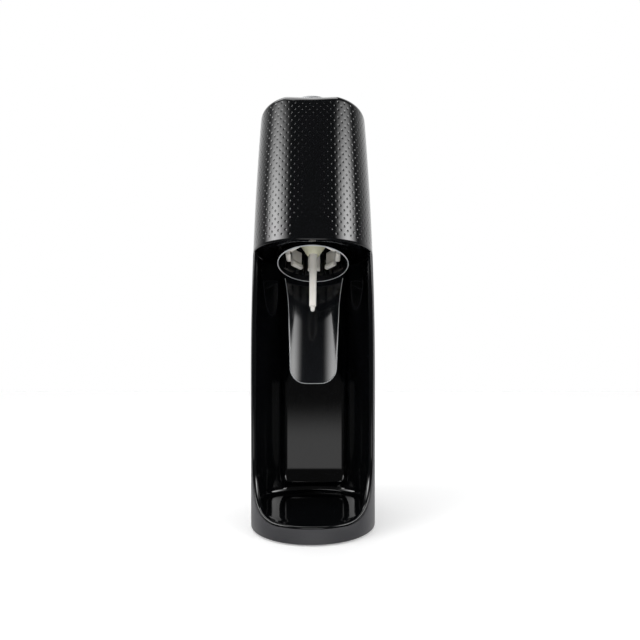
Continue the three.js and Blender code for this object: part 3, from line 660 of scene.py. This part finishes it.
# ------------------------------------------------------------------ head
def head_wall(s):
    """The dimpled wall: a flat sheet is dimpled, rounded, then wrapped round the head."""
    cell, row = s.pitch / 2, s.row
    columns, rows, lip, top_rows = 72, 34, 2, 4
    width = columns * cell
    wall = SHELL_TOP - TOP_FILLET - HEAD_Z
    lip_h = (wall - rows * row) / lip
    fillet_h = TOP_FILLET * math.pi / 2 / top_rows
    levels = [i * lip_h for i in range(lip)] + [lip * lip_h + i * row for i in range(rows)]
    levels += [wall + i * fillet_h for i in range(top_rows + 1)]
    total = lip + rows + top_rows
    obj = sheet("head_wall", columns, total)

    def lay_out(x, y, z):
        k = (y + 1) / 2 * total
        low = min(int(k + 1e-6), total - 1)
        return x * width / 2, mix(levels[low], levels[low + 1], k - low), z * WALL

    for vertex in obj.data.vertices:
        vertex.co = Vector(lay_out(*vertex.co)) * MM

    def dimpled(polygon):
        x, y, z = (v / MM for v in polygon.center)
        if z < -0.1 or polygon.normal.z < 0.5:
            return False
        i = int((x + width / 2) / cell)
        j = math.floor((y - lip * lip_h) / row)
        plain = abs(x) < s.plain_w and PLAIN_FROM < y < PLAIN_TO
        return 0 <= j < rows and (i + j) % 2 == 0 and not plain

    edit(obj, dimpled)
    bpy.ops.mesh.inset(thickness=(cell - s.dimple * 1.3) / 2 * MM, use_individual=True)
    bpy.ops.mesh.inset(thickness=s.dimple * 0.15 * MM, depth=-s.depth * MM, use_individual=True)
    done()
    modify(obj, "SUBSURF", levels=1, render_levels=1)

    def place(x, y, z):
        x, y, depth = x / MM, y / MM, -z / MM
        height, inset, lean = HEAD_Z + y, 0.0, 0.0
        if y > wall:
            lean = min((y - wall) / TOP_FILLET, math.pi / 2)
            height, inset = fillet(lean)
        back = length_to(height, inset, HEAD_BACK_Y)
        px, py, nx, ny = along(plan(height, inset), abs(x) / (width / 2) * back)
        sink = depth * math.cos(lean)
        px, py = px - nx * sink, py - ny * sink
        return math.copysign(px, x), py, height - depth * math.sin(lean) - dip(px, py, height)

    wrap(obj, place)
    return finished(obj, "housing", "gloss_black", "head_cover", angle=50)


def reach(inside, angle, centre_y, far=140.0):
    """Distance from (0, centre_y) to where inside(x, y) ends, at an angle from the back."""
    low, high = 0.0, far
    for _ in range(24):
        middle = (low + high) / 2
        if inside(middle * math.sin(angle), centre_y + middle * math.cos(angle)):
            low = middle
        else:
            high = middle
    return low


def within_plan(x, y, z, inset):
    """True inside the casing's plan at a height."""
    w, n = half_width(z) - inset, squareness(z)
    along_y = max(0.0, FRONT_Y - y, y - REAR_Y)
    return (abs(x) / w) ** n + (along_y / w) ** n <= 1


def within_obround(x, y, half_w, half_l):
    """True inside the button's long round outline."""
    return math.hypot(x, max(0.0, abs(y - BUTTON_Y) - (half_l - half_w))) <= half_w


def head_top():
    """The cover's top, around the button, dipping with the front edge."""
    obj = sheet("head_top", 120, 8)
    open_ends(obj)
    reaches = {}

    def on_top(x, y):
        return within_plan(x, y, SHELL_TOP, TOP_FILLET + 0.15) and y < HEAD_BACK_Y

    def round_button(x, y):
        return within_obround(x, y, BUTTON_HALF_W + BUTTON_GAP, BUTTON_HALF_L + BUTTON_GAP)

    def place(x, y, z):
        angle = math.pi * x
        key = round(angle, 5)
        if key not in reaches:
            reaches[key] = reach(round_button, angle, BUTTON_Y), reach(on_top, angle, BUTTON_Y)
        inner, outer = reaches[key]
        r = mix(inner, outer, (y + 1) / 2)
        px, py = r * math.sin(angle), BUTTON_Y + r * math.cos(angle)
        return px, py, SHELL_TOP + z * WALL - dip(px, py, SHELL_TOP)

    wrap(obj, place)
    round_edges(obj, 0.5, 3, 50)
    return finished(obj, "housing", "gloss_black", "head_cover", angle=40)


# ------------------------------------------------------------------ casing
def casing(name):
    """The whole outer skin with its flat top, as one closed wall, open below."""
    wall_rows, fillet_rows, deck_rows = 44, 6, 6
    total = wall_rows + fillet_rows + deck_rows
    obj = sheet(name, 160, total)
    open_ends(obj)
    # the deck's last row meets itself on the middle line, where no wall is left between the two skins
    at = obj.data.vertices
    drop_faces(obj, lambda p: all(at[i].co.y > EDGE for i in p.vertices) and p.normal.y > 0.5)
    bottom, top = SHELL_BOTTOM, SHELL_TOP - TOP_FILLET

    def place(x, y, z):
        k = (y + 1) / 2 * total
        depth = -z * WALL
        if k <= wall_rows:
            height, inset, lean = mix(bottom, top, k / wall_rows), 0.0, 0.0
        elif k <= wall_rows + fillet_rows:
            lean = (k - wall_rows) / fillet_rows * math.pi / 2
            height, inset = fillet(lean)
        else:
            share = (k - wall_rows - fillet_rows) / deck_rows
            height, lean = SHELL_TOP, math.pi / 2
            inset = mix(TOP_FILLET, half_width(SHELL_TOP) - 1e-4, share)
        return skin(height, inset, abs(x), math.copysign(1, x), depth, lean)

    wrap(obj, place)
    close_up(obj, 2e-5)
    return obj


def sweep_edge(y):
    """Height of the bay's edge at a given y, in side view."""
    if y <= LIP_Y:
        return LIP_Z
    share = min((y - LIP_Y) / (EDGE_Y - LIP_Y), 1.0)
    return LIP_Z + SWEEP_H * (1 - math.sqrt(1 - share * share))


def bay_cutter():
    """What lies in front of the bay's edge."""
    steps = 28
    obj = sheet("bay_cutter", steps + 1, 1)

    def place(x, y, z):
        k = round((x + 1) / 2 * (steps + 1))
        if k <= steps:
            a = math.pi / 2 * k / steps
            edge_y, edge_z = mix(LIP_Y, EDGE_Y, math.sin(a)), LIP_Z + SWEEP_H * (1 - math.cos(a))
        else:
            edge_y, edge_z = EDGE_Y, HEAD_Z + SEAM
        return (-100 if z < -0.5 else 100), mix(edge_y, -130, (y + 1) / 2), edge_z

    wrap(obj, place)
    return obj


def body_shell():
    """The casing, less the bay's front, the head and the rear cover."""
    obj = casing("body_shell_fine")
    cut(obj, bay_cutter())
    cut(obj, block("tool", (-100, -130, HEAD_Z - SEAM), (100, HEAD_BACK_Y + SEAM, 450)))
    cut(obj, block("tool", (-100, REAR_COVER_Y - SEAM, REAR_COVER_Z - SEAM), BEYOND))
    close_up(obj, 5e-6)
    round_edges(obj, 0.3, 2, 55)
    return finished(obj, "housing", "matte_charcoal", "body_shell", angle=30)


def rear_cover():
    """The casing's rear, with the latch's hole."""
    obj = casing("rear_cover_fine")
    cut(obj, block("tool", (-100, REAR_COVER_Y, REAR_COVER_Z), BEYOND), "INTERSECT")
    cut(obj, block("tool", (-12.4, 57.6, 410), (12.4, 72.4, 440)))
    close_up(obj, 5e-6)
    round_edges(obj, 0.3, 2, 55)
    return finished(obj, "rear_cover", "matte_charcoal", "rear_cover", angle=30)


# ------------------------------------------------------------------ bay
def floor_z(y):
    """Height of the bay's floor, which rises to the back."""
    return mix(FLOOR_FRONT_Z, FLOOR_BACK_Z, (y - FRONT_Y + END_R) / (END_R + TROUGH_DEPTH))


def bay_reach(angle, z):
    """Radius of the bay's wall from the front end's centre; the angle is measured from the back."""
    a, n = half_width(z) - LINER_INSET, squareness(z)
    s, c = abs(math.sin(angle)), math.cos(angle)
    if c < 0:
        return a / (s**n + abs(c) ** n) ** (1 / n)
    trough = 1 / math.sqrt((s / a) ** 2 + (c / TROUGH_DEPTH) ** 2)
    if z < FLOOR_BACK_Z:
        return trough
    # the recess scoops out of the floor: its back over 25 mm of height, its sides over 17 mm
    below_back = max(0.0, FLOOR_BACK_Z + SCOOP_BACK - z) / SCOOP_BACK
    below_side = max(0.0, FLOOR_BACK_Z + SCOOP_SIDE - z)
    back = CHANNEL_Y - SCOOP_DEPTH * (1 - math.sqrt(max(0.0, 1 - below_back**2)))
    side = CHANNEL_W - SCOOP_SIDE + math.sqrt(max(0.0, SCOOP_SIDE**2 - below_side**2))
    n = CHANNEL_SQUARENESS
    recess = ((s / side) ** n + (c / (back - FRONT_Y)) ** n) ** (-1 / n)
    return max(trough, recess) + 0.35 * BLEND * math.exp(-abs(trough - recess) / BLEND)


def bay_liner():
    """Floor, walls and recess in one skin: a ring of columns, floor rows inside and wall rows outside."""
    side_columns, front_columns = 100, 60
    columns = side_columns + front_columns
    floor_rows, corner_rows, low_rows, high_rows = 10, 5, 16, 26
    rows = floor_rows + corner_rows + low_rows + high_rows
    turn_up = floor_rows + corner_rows + low_rows
    obj = sheet("bay_liner_fine", columns, rows, thick=False)
    edge_share = side_columns / columns

    def is_open(p):
        return abs(p.center.x) > edge_share and (p.center.y + 1) / 2 * rows > turn_up

    drop_faces(obj, is_open)
    edge_angles = {}

    def edge_angle(z):
        if z not in edge_angles:
            low, high = math.pi / 2, math.pi
            for _ in range(30):
                middle = (low + high) / 2
                if FRONT_Y + bay_reach(middle, z) * math.cos(middle) > EDGE_Y + 0.5:
                    low = middle
                else:
                    high = middle
            edge_angles[z] = low
        return edge_angles[z]

    def angle_at(share, z):
        share = abs(share)
        limit = edge_angle(z)
        if share <= edge_share:
            t = share / edge_share
            # columns crowd together where the recess turns
            t += 0.075 * math.sin(2 * math.pi * t)
            return t * limit
        return mix(limit, math.pi, (share - edge_share) / (1 - edge_share))

    def place(x, y, z):
        k = round((y + 1) / 2 * rows, 3)
        side = math.copysign(1, x)
        corner = FLOOR_CORNER
        base_angle = angle_at(x, FLOOR_BACK_Z)
        if k <= floor_rows:
            r = (bay_reach(base_angle, FLOOR_BACK_Z) - corner) * k / floor_rows
            px, py = side * r * math.sin(base_angle), FRONT_Y + r * math.cos(base_angle)
            return px, py, floor_z(py)
        wall_x = bay_reach(base_angle, FLOOR_BACK_Z)
        foot_y = FRONT_Y + wall_x * math.cos(base_angle)
        edge = min(sweep_edge(foot_y), SWEEP_TOP) + 1.2
        foot = floor_z(foot_y)
        room = max(min(corner, edge - foot), 0.0)
        if k <= floor_rows + corner_rows:
            lean = (k - floor_rows) / corner_rows * math.pi / 2
            r = wall_x - corner + corner * math.sin(lean)
            height = foot + room - room * math.cos(lean)
            return side * r * math.sin(base_angle), FRONT_Y + r * math.cos(base_angle), height
        start = foot + room
        if k <= turn_up:
            share = (k - floor_rows - corner_rows) / low_rows
            limit = max(min(edge, SWEEP_TOP), start + 0.05)
            if abs(x) <= edge_share + 1e-4:
                limit = SWEEP_TOP
            height = mix(start, limit, share)
        else:
            height = mix(SWEEP_TOP, BAY_TOP, (k - turn_up) / high_rows)
        angle = angle_at(x, round(max(height, FLOOR_BACK_Z), 2))
        r = bay_reach(angle, max(height, FLOOR_BACK_Z))
        return side * r * math.sin(angle), FRONT_Y + r * math.cos(angle), height

    wrap(obj, place)
    thicken(obj, LINER_WALL, Vector((0, 0, 1)), Vector((0, FRONT_Y, FLOOR_BACK_Z)))
    return finished(obj, "housing", "gloss_black", "bay_liner", angle=50)


def bay_rim():
    """The rolled glossy bead that caps the casing's edge round the bay."""
    upright, sweep, front = 30, 40, 50
    half = upright + sweep + front
    round_rows = 16
    obj = sheet("bay_rim", 2 * half, round_rows, thick=False)

    def line(k):
        if k <= front:
            z = RIM_Z
            x, y, nx, ny = along(plan(z, RIM_INSET), k / front * length_to(z, RIM_INSET, LIP_Y))
            return Vector((x, y, z)), Vector((nx, ny, 0))
        if k <= front + sweep:
            a = math.pi / 2 * (k - front) / sweep
            y, z = mix(LIP_Y, EDGE_Y, math.sin(a)), RIM_Z + SWEEP_H * (1 - math.cos(a))
        else:
            y, z = EDGE_Y, mix(RIM_Z + SWEEP_H, BAY_TOP, (k - front - sweep) / upright)
        level = round(z, 1)
        x, y, nx, ny = along(plan(level, RIM_INSET), length_to(level, RIM_INSET, y))
        return Vector((x, y, z)), Vector((nx, ny, 0))

    def place(u, v, _):
        side = math.copysign(1, u)
        k = abs(u) * half
        here, outward = line(k)
        ahead = line(min(k + 0.5, half))[0]
        behind = line(max(k - 0.5, 0))[0]
        run = (ahead - behind).normalized()
        front_way = outward.cross(run)
        if front_way.y > 0 or (abs(front_way.y) < 1e-6 and front_way.z < 0):
            front_way = -front_way
        if k <= front:
            front_way = Vector((0, 0, 1))
        a = math.pi * v
        across = math.copysign(abs(math.cos(a)) ** 0.75, math.cos(a)) * RIM_HALF_W
        out = math.copysign(abs(math.sin(a)) ** 0.8, math.sin(a)) * RIM_HALF_H
        p = here + outward * across + front_way * (out + 0.6)
        return side * p.x, p.y, p.z

    wrap(obj, place)
    cap_ends(obj)
    return finished(obj, "housing", "gloss_black", "bay_liner", angle=60)


# ------------------------------------------------------------------ bottle holder
def into_holder(obj):
    """From the holder's own frame to the machine's."""
    obj.data.transform(HOLDER)
    return obj


def collar(s):
    """The tilting cup: mouth ring, wall, ceiling, two bosses for its pins, and ribs inside."""
    r, z = s.mouth_r, MOUTH_Z
    outline = [(r - 1.9, z + 0.6), (r - 1.2, z - 0.3), (r - 0.5, z - 0.3), (r, z + 0.5), (r, z + 4.6),
               (r - 0.8, z + 6), (34.6, -10), (33.9, -2), (33.2, 5), (32, 13), (30.8, 15.8), (28.6, 17),
               (13.2, 17), (13.2, 14.5), (27.8, 14.5), (29.6, 12.6), (30.6, 8), (31.6, 1), (32.6, -10),
               (34.4, z + 6)]
    obj = turned("collar_fine", outline, 96)
    tools = []
    for side in (-1, 1):
        clear()
        place = {"location": (side * 34.5 * MM, 0, 0), "rotation": (0, math.pi / 2, 0)}
        bpy.ops.mesh.primitive_cylinder_add(vertices=40, radius=6 * MM, depth=7 * MM, **place)
        boss = named("boss")
        bpy.ops.object.transform_apply(location=True, rotation=True, scale=True)
        round_edges(boss, 0.5, 2, 50)
        tools.append(boss)
    join(obj, *tools)
    # pairs of thin ribs down the inner wall, between the jaws
    rib = block("rib", (-0.45, 31.0, -18), (0.45, 33.6, 8))
    round_edges(rib, 0.2, 1, 50)
    ribs = []
    for i in range(s.ribs):
        for shift in (-0.075, 0.075):
            twin = rib.copy()
            twin.data = rib.data.copy()
            bpy.context.scene.collection.objects.link(twin)
            twin.data.transform(Matrix.Rotation(2 * math.pi * (i + 0.5) / s.ribs + shift, 4, "Z"))
            ribs.append(twin)
    bpy.data.objects.remove(rib)
    join(obj, *ribs)
    return finished(into_holder(obj), "bottle_holder", "gloss_black", "collar")


def jaws():
    """The jaws, one body each, and the ring that carries them."""
    for i in range(JAWS):
        name = f"jaw_{i + 1}"
        obj = copy_of(name)
        round_edges(obj, 0.45, 3, 30)
        finished(obj, name, "white_plastic", name)
    ring = copy_of("jaw_ring")
    round_edges(ring, 0.3, 2, 40)
    finished(ring, "bottle_holder", "gloss_black", "jaw_ring")


def seal_and_tube():
    """The bottle's seal, the carbonating tube through it and the nozzle at its end."""
    seal = turned(
        "bottle_seal_fine",
        [(4.4, -11.4), (5.2, -11.8), (6, -11.3), (6.9, -10.3), (7.6, -9.2), (9.8, -5.6), (12.2, -1.6),
         (14, 1.6), (15, 4.2), (14.9, 6.2), (13.8, 8.4), (10.4, 8.6), (10.4, 4), (4.4, 1)],
    )
    finished(into_holder(seal), "bottle_holder", "ivory_silicone", "bottle_seal", angle=45)
    end = TUBE_END_Z
    tube = turned(
        "carbonating_tube_fine",
        [(1.8, end), (3.0, end), (3.3, end + 0.4), (3.5, end + 1.2), (3.6, -52), (3.7, -34), (3.8, -32.6),
         (3.95, -31.6), (3.95, 4.6), (9.8, 4.6), (9.8, 8.6), (6, 8.9), (6, 17.4), (1.8, 17.4)],
    )
    finished(into_holder(tube), "bottle_holder", "white_plastic", "carbonating_tube", angle=45)
    low = TIP_END_Z
    tip = turned(
        "nozzle_tip_fine",
        [(0.6, low + 1.3), (0.6, low + 0.3), (0.9, low), (1.3, low + 0.1), (1.8, low + 0.6), (2.1, low + 1.4),
         (2.2, low + 2.7), (2.2, end - 0.3), (1.5, end - 0.3), (1.5, end + 6), (0.6, end + 6)],
        40,
    )
    finished(into_holder(tip), "bottle_holder", "white_plastic", "nozzle_tip", angle=50)


def guide_half_width(z):
    """Half width of the guide plate at a height in the holder's frame."""
    if z > GUIDE_WAIST:
        return 27.2 + 5.3 * ((z - GUIDE_WAIST) / (GUIDE_TOP - GUIDE_WAIST)) ** 1.7
    above = z - GUIDE_FOOT - 15
    body = mix(24.4, 27.2, above / (GUIDE_WAIST - GUIDE_FOOT - 15)) if above > 0 else 24.4 + 0.06 * above
    below_corner = GUIDE_FOOT + GUIDE_CORNER - z
    if below_corner > 0:
        body -= GUIDE_CORNER - math.sqrt(max(0.0, GUIDE_CORNER**2 - below_corner**2))
    return body


def bottle_guide():
    """A curved plate: rows down its length, columns round it, both crowding towards the rounded foot."""
    inner, thick = GUIDE_R, 2.2
    obj = sheet("bottle_guide_fine", 40, 60)
    top, low = GUIDE_TOP - 0.4, GUIDE_FOOT

    def place(x, y, z):
        t = (y + 1) / 2
        height = low + (top - low) * t**1.35
        w = guide_half_width(height)
        r = inner - z * thick
        angle = math.asin(min(w / inner, 1.0)) * x
        return r * math.sin(angle), r * math.cos(angle), height

    wrap(obj, place)
    round_edges(obj, 0.6, 3, 50)
    # the lip that joins it to the mouth ring
    lip = sheet("guide_lip", 40, 2)

    def lip_place(x, y, z):
        r = mix(37.6, 45.2, (y + 1) / 2)
        angle = 0.84 * x * mix(1.0, 0.95, (y + 1) / 2)
        return r * math.sin(angle), r * math.cos(angle), GUIDE_TOP + z * 2.2

    wrap(lip, lip_place)
    round_edges(lip, 0.4, 2, 50)
    join(obj, lip)
    return finished(into_holder(obj), "bottle_holder", "smoke_gloss", "bottle_guide", angle=40)


def bead(name, line, count, radius, closed=False):
    """A round bead along line(t), t from 0 to 1, in millimetres: rings across it, bridged into a tube."""
    round_steps = 10
    obj = sheet(name, count, round_steps, thick=False)

    def place(u, v, _):
        t = (u + 1) / 2
        here = line(t)
        step = 0.25 / count
        ahead = line((t + step) % 1 if closed else min(t + step, 1))
        behind = line((t - step) % 1 if closed else max(t - step, 0))
        run = (ahead - behind).normalized()
        across = run.cross(Vector((here.x, here.y, 0)).normalized()).normalized()
        outward = across.cross(run)
        return here + (across * math.cos(math.pi * v) + outward * math.sin(math.pi * v)) * radius

    wrap(obj, place)
    if not closed:
        cap_ends(obj)
    return obj


def painted_highlight_edges(s):
    """The smoked moulding's polished edges, round the mouth and the guide plate, as pale beads: painted
    highlights standing in for the light these edges catch.
    """
    thick = 0.6

    def mouth_edge(t):
        turn = Vector((math.cos(2 * math.pi * t), math.sin(2 * math.pi * t), 0))
        return turn * (s.mouth_r - thick) + Vector((0, 0, MOUTH_Z - 0.05))

    # a pale bead round the mouth ring's lip: a painted highlight
    mouth = bead("mouth_painted_highlight", mouth_edge, 96, thick, closed=True)
    finished(into_holder(mouth), "bottle_holder", "smoke_gloss", "collar", angle=60, finish_name="edge")

    low, corner, top = GUIDE_FOOT, GUIDE_CORNER, GUIDE_TOP - 4
    foot = guide_half_width(low)

    def plate_edge(t):
        side = 1 if t > 0.5 else -1
        share = abs(t - 0.5) * 2
        if share < 0.08:
            w, height = foot * share / 0.08, low
        elif share < 0.24:
            a = (share - 0.08) / 0.16 * math.pi / 2
            height = low + corner * (1 - math.cos(a))
            w = guide_half_width(height)
        else:
            height = mix(low + corner, top, (share - 0.24) / 0.76)
            w = guide_half_width(height)
        angle = math.asin(w / GUIDE_R)
        r = GUIDE_R + 0.4
        return Vector((side * r * math.sin(angle), r * math.cos(angle), height))

    # pale beads down the guide plate's sides: painted highlight lines
    edge = bead("guide_painted_highlight", plate_edge, 150, 0.36)
    finished(into_holder(edge), "bottle_holder", "smoke_gloss", "bottle_guide", angle=60, finish_name="edge")


# ------------------------------------------------------------------ the rest
def fine_copies(rows):
    """Merged copies of frame nodes: (node, body, slot, edge rounding in mm)."""
    for node, body, slot, width in rows:
        obj = copy_of(node)
        if width:
            round_edges(obj, width)
        finished(obj, body, slot, node, finish_name=FINISH_OF.get(node))


def spring(node):
    """A merged copy of a spring, in steel, with no body of its own and its placement baked into the mesh."""
    obj = copy_of(node)
    finished(obj, None, "steel", node)
    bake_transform(obj)


class CARBONATOR_OT_head(bpy.types.Operator):
    """Dimpled head cover and its top"""

    bl_idname = "carbonator.head"
    bl_label = "Head"

    def execute(self, context):
        head_wall(context.scene.carbonator_head)
        head_top()
        return {"FINISHED"}


class CARBONATOR_OT_casing(bpy.types.Operator):
    """Body shell with its base ring, and the rear cover with its latch"""

    bl_idname = "carbonator.casing"
    bl_label = "Casing"

    def execute(self, context):
        body_shell()
        rear_cover()
        fine_copies([("latch_button", "latch", "matte_charcoal", 0.5)])
        return {"FINISHED"}


class CARBONATOR_OT_bay(bpy.types.Operator):
    """Gloss bay with its recess, rolled rim and bezel"""

    bl_idname = "carbonator.bay"
    bl_label = "Bay"

    def execute(self, context):
        bay_liner()
        bay_rim()
        fine_copies([("head_bezel", "housing", "gloss_black", 0.4)])
        return {"FINISHED"}


class CARBONATOR_OT_holder(bpy.types.Operator):
    """Tilting collar with its jaws, seal, tube and guide plate"""

    bl_idname = "carbonator.holder"
    bl_label = "Bottle holder"

    def execute(self, context):
        s = context.scene.carbonator_holder
        collar(s)
        jaws()
        seal_and_tube()
        bottle_guide()
        painted_highlight_edges(s)
        return {"FINISHED"}


class CARBONATOR_OT_controls(bpy.types.Operator):
    """Push button, its spring and the lever it works"""

    bl_idname = "carbonator.controls"
    bl_label = "Button and lever"

    def execute(self, context):
        fine_copies(
            [
                ("carbonating_button", "button", "button_silver", 0.8),
                ("actuator_lever", "lever", "steel", 0.5),
                ("lever_pin", "housing", "steel", 0.3),
            ]
        )
        spring("button_spring")
        spring("latch_spring")
        return {"FINISHED"}


class CARBONATOR_OT_gas(bpy.types.Operator):
    """Gas cylinder, its valve and seat, hose and fittings"""

    bl_idname = "carbonator.gas"
    bl_label = "Gas side"

    def execute(self, context):
        fine_copies(
            [
                ("gas_cylinder", "gas_cylinder", "cylinder_paint", 0),
                ("cylinder_valve", "gas_cylinder", "brass", 0.3),
                ("valve_stem", "valve_stem", "steel", 0.2),
                ("cylinder_seat", "housing", "brass", 0.3),
                ("seat_washer", "cylinder_lift", "black_rubber", 0.2),
                ("push_pin", "push_pin", "steel", 0.2),
                ("gas_hose", "housing", "white_plastic", 0),
                ("hose_nut", "housing", "brass", 0.3),
                ("hose_elbow", "housing", "brass", 0.3),
                ("gas_riser", "bottle_holder", "steel", 0),
                ("carbonating_head", "bottle_holder", "chassis_black", 0.4),
                ("relief_cap", "bottle_holder", "brass", 0.3),
                ("relief_poppet", "relief_valve", "brass", 0.1),
                ("relief_spring", "bottle_holder", "steel", 0),
                ("burst_plug", "bottle_holder", "brass", 0.3),
            ]
        )
        return {"FINISHED"}


class CARBONATOR_OT_chassis(bpy.types.Operator):
    """Mechanism frame, base plate, feet, pins and screws"""

    bl_idname = "carbonator.chassis"
    bl_label = "Chassis"

    def execute(self, context):
        rows = [
            ("mechanism_frame", "housing", "chassis_black", 0.4),
            ("base_plate", "housing", "chassis_black", 0.4),
            ("tilt_pin_left", "housing", "steel", 0.3),
            ("tilt_pin_right", "housing", "steel", 0.3),
        ]
        for place in ("front_left", "front_right", "rear_left", "rear_right"):
            rows.append(("foot_" + place, "housing", "black_rubber", 0.4))
        for i in range(4):
            rows.append((f"base_screw_{i + 1}", "housing", "steel", 0.3))
        for i in range(2):
            rows.append((f"frame_screw_{i + 1}", "housing", "steel", 0.3))
        fine_copies(rows)
        return {"FINISHED"}


def fade(start, end, low=0.0, high=1.0):
    """Settings of a smooth change from low, where the value is at start, to high, where it is at end."""
    span = {"From Min": start, "From Max": end, "To Min": low, "To Max": high}
    return {"interpolation_type": "SMOOTHSTEP", **span}


def surroundings(scene, s):
    """A dark room in front, white behind and a tall soft light on each side; the camera sees only white."""
    world = bpy.data.worlds.new("surroundings")
    scene.world = world
    world.use_nodes = True
    tree = world.node_tree
    lit = tree.nodes["Background"]
    lit.inputs["Color"].default_value = (1, 1, 1, 1)
    way = add(tree, "SeparateXYZ", Vector=add(tree, "TexCoord").outputs["Generated"])
    x, y, z = (way.outputs[i] for i in range(3))
    total = add(tree, "MapRange", fade(-0.1, 0.75, s.room, s.backdrop), Value=y).outputs["Result"]
    forward = add(tree, "Math", {"operation": "MULTIPLY", 1: -1.0}, y)
    turn = add(tree, "Math", {"operation": "ARCTAN2"}, x, forward.outputs[0])
    # the softboxes fade out well above the horizon and overhead
    below_top = add(tree, "MapRange", fade(0.80, 0.32), Value=z)
    above_table = add(tree, "MapRange", fade(0.18, 0.32), Value=z)
    product = {"operation": "MULTIPLY"}
    height = add(tree, "Math", product, below_top.outputs["Result"], above_table.outputs["Result"])
    for middle, half in SOFTBOXES:
        off = add(tree, "Math", {"operation": "SUBTRACT", 1: math.radians(middle)}, turn.outputs[0])
        size = add(tree, "Math", {"operation": "ABSOLUTE"}, off.outputs[0])
        band = add(tree, "MapRange", fade(math.radians(half), 0.0, 0.0, s.softbox), Value=size.outputs[0])
        glow = add(tree, "Math", product, band.outputs["Result"], height.outputs[0])
        total = add(tree, "Math", {"operation": "ADD"}, total, glow.outputs[0]).outputs[0]
    # a pale card low in front, which only the faces that look straight ahead mirror
    straight = add(tree, "Math", {"operation": "ABSOLUTE"}, turn.outputs[0])
    reach_of_card = fade(math.radians(24), math.radians(15), 0.0, s.card)
    card = add(tree, "MapRange", reach_of_card, Value=straight.outputs[0])
    under = add(tree, "MapRange", fade(-0.07, -0.16), Value=z)
    glow = add(tree, "Math", product, card.outputs["Result"], under.outputs["Result"])
    total = add(tree, "Math", {"operation": "ADD"}, total, glow.outputs[0]).outputs[0]
    tree.links.new(total, lit.inputs["Strength"])
    seen = add(tree, "Background", {"Color": (1, 1, 1, 1), "Strength": 1.0})
    camera_ray = add(tree, "LightPath").outputs["Is Camera Ray"]
    choose = add(tree, "MixShader", None, camera_ray, lit.outputs[0], seen.outputs[0])
    tree.links.new(choose.outputs[0], tree.nodes["World Output"].inputs["Surface"])


class CARBONATOR_OT_stage(bpy.types.Operator):
    """Pale floor, soft lights and the camera"""

    bl_idname = "carbonator.stage"
    bl_label = "Stage"

    def execute(self, context):
        s = context.scene.carbonator_stage
        context.scene.view_settings.view_transform = "Standard"
        clear()
        bpy.ops.mesh.primitive_plane_add(size=6, location=(0, 0, -0.0002))
        floor = named("floor")
        floor.data.materials.append(look("paper"))
        floor.visible_glossy = False

        place, target = Vector((-0.2, -0.1, 1.5)), Vector((0, 0, 0.2))
        bpy.ops.object.light_add(type="AREA", location=place)
        lamp = bpy.context.active_object
        lamp.name = "top_soft"
        lamp.data.shape = "RECTANGLE"
        lamp.data.size = lamp.data.size_y = 1.0
        lamp.data.energy = s.top_power
        lamp.rotation_euler = (target - place).to_track_quat("-Z", "Y").to_euler()
        surroundings(context.scene, s)

        bpy.ops.object.camera_add(location=(s.aside, -s.distance, s.height), rotation=(math.pi / 2, 0, 0))
        camera = bpy.context.active_object
        camera.name = "front_camera"
        camera.data.lens = s.focal
        camera.data.sensor_width = 36
        camera.data.shift_x, camera.data.shift_y = LENS_SHIFT
        camera.data.clip_start = 0.01
        camera.data.dof.use_dof = False
        context.scene.camera = camera
        return {"FINISHED"}


class CARBONATOR_PT_panel(bpy.types.Panel):
    """Lists the pieces and their sizes"""

    bl_idname = "CARBONATOR_PT_panel"
    bl_label = "Soda Carbonator"
    bl_space_type = "VIEW_3D"
    bl_region_type = "UI"
    bl_category = "Carbonator"

    def draw(self, context):
        scene = context.scene
        for group in (scene.carbonator_head, scene.carbonator_holder, scene.carbonator_stage):
            box = self.layout.box()
            for key in group.__annotations__:
                box.prop(group, key)
        for operator in OPERATORS:
            self.layout.operator(operator.bl_idname)


SETTINGS = {
    "carbonator_head": HeadSettings,
    "carbonator_holder": HolderSettings,
    "carbonator_stage": StageSettings,
}
OPERATORS = (
    CARBONATOR_OT_stage,
    CARBONATOR_OT_head,
    CARBONATOR_OT_casing,
    CARBONATOR_OT_bay,
    CARBONATOR_OT_holder,
    CARBONATOR_OT_controls,
    CARBONATOR_OT_gas,
    CARBONATOR_OT_chassis,
)


def register():
    for group in SETTINGS.values():
        bpy.utils.register_class(group)
    for key, group in SETTINGS.items():
        setattr(bpy.types.Scene, key, bpy.props.PointerProperty(type=group))
    for operator in OPERATORS:
        bpy.utils.register_class(operator)
    bpy.utils.register_class(CARBONATOR_PT_panel)


def unregister():
    bpy.utils.unregister_class(CARBONATOR_PT_panel)
    for operator in reversed(OPERATORS):
        bpy.utils.unregister_class(operator)
    for key, group in SETTINGS.items():
        delattr(bpy.types.Scene, key)
        bpy.utils.unregister_class(group)


def main():
    register()
    for operator in OPERATORS:
        group, name = operator.bl_idname.split(".")
        getattr(getattr(bpy.ops, group), name)()


if __name__ == "__main__":
    main()
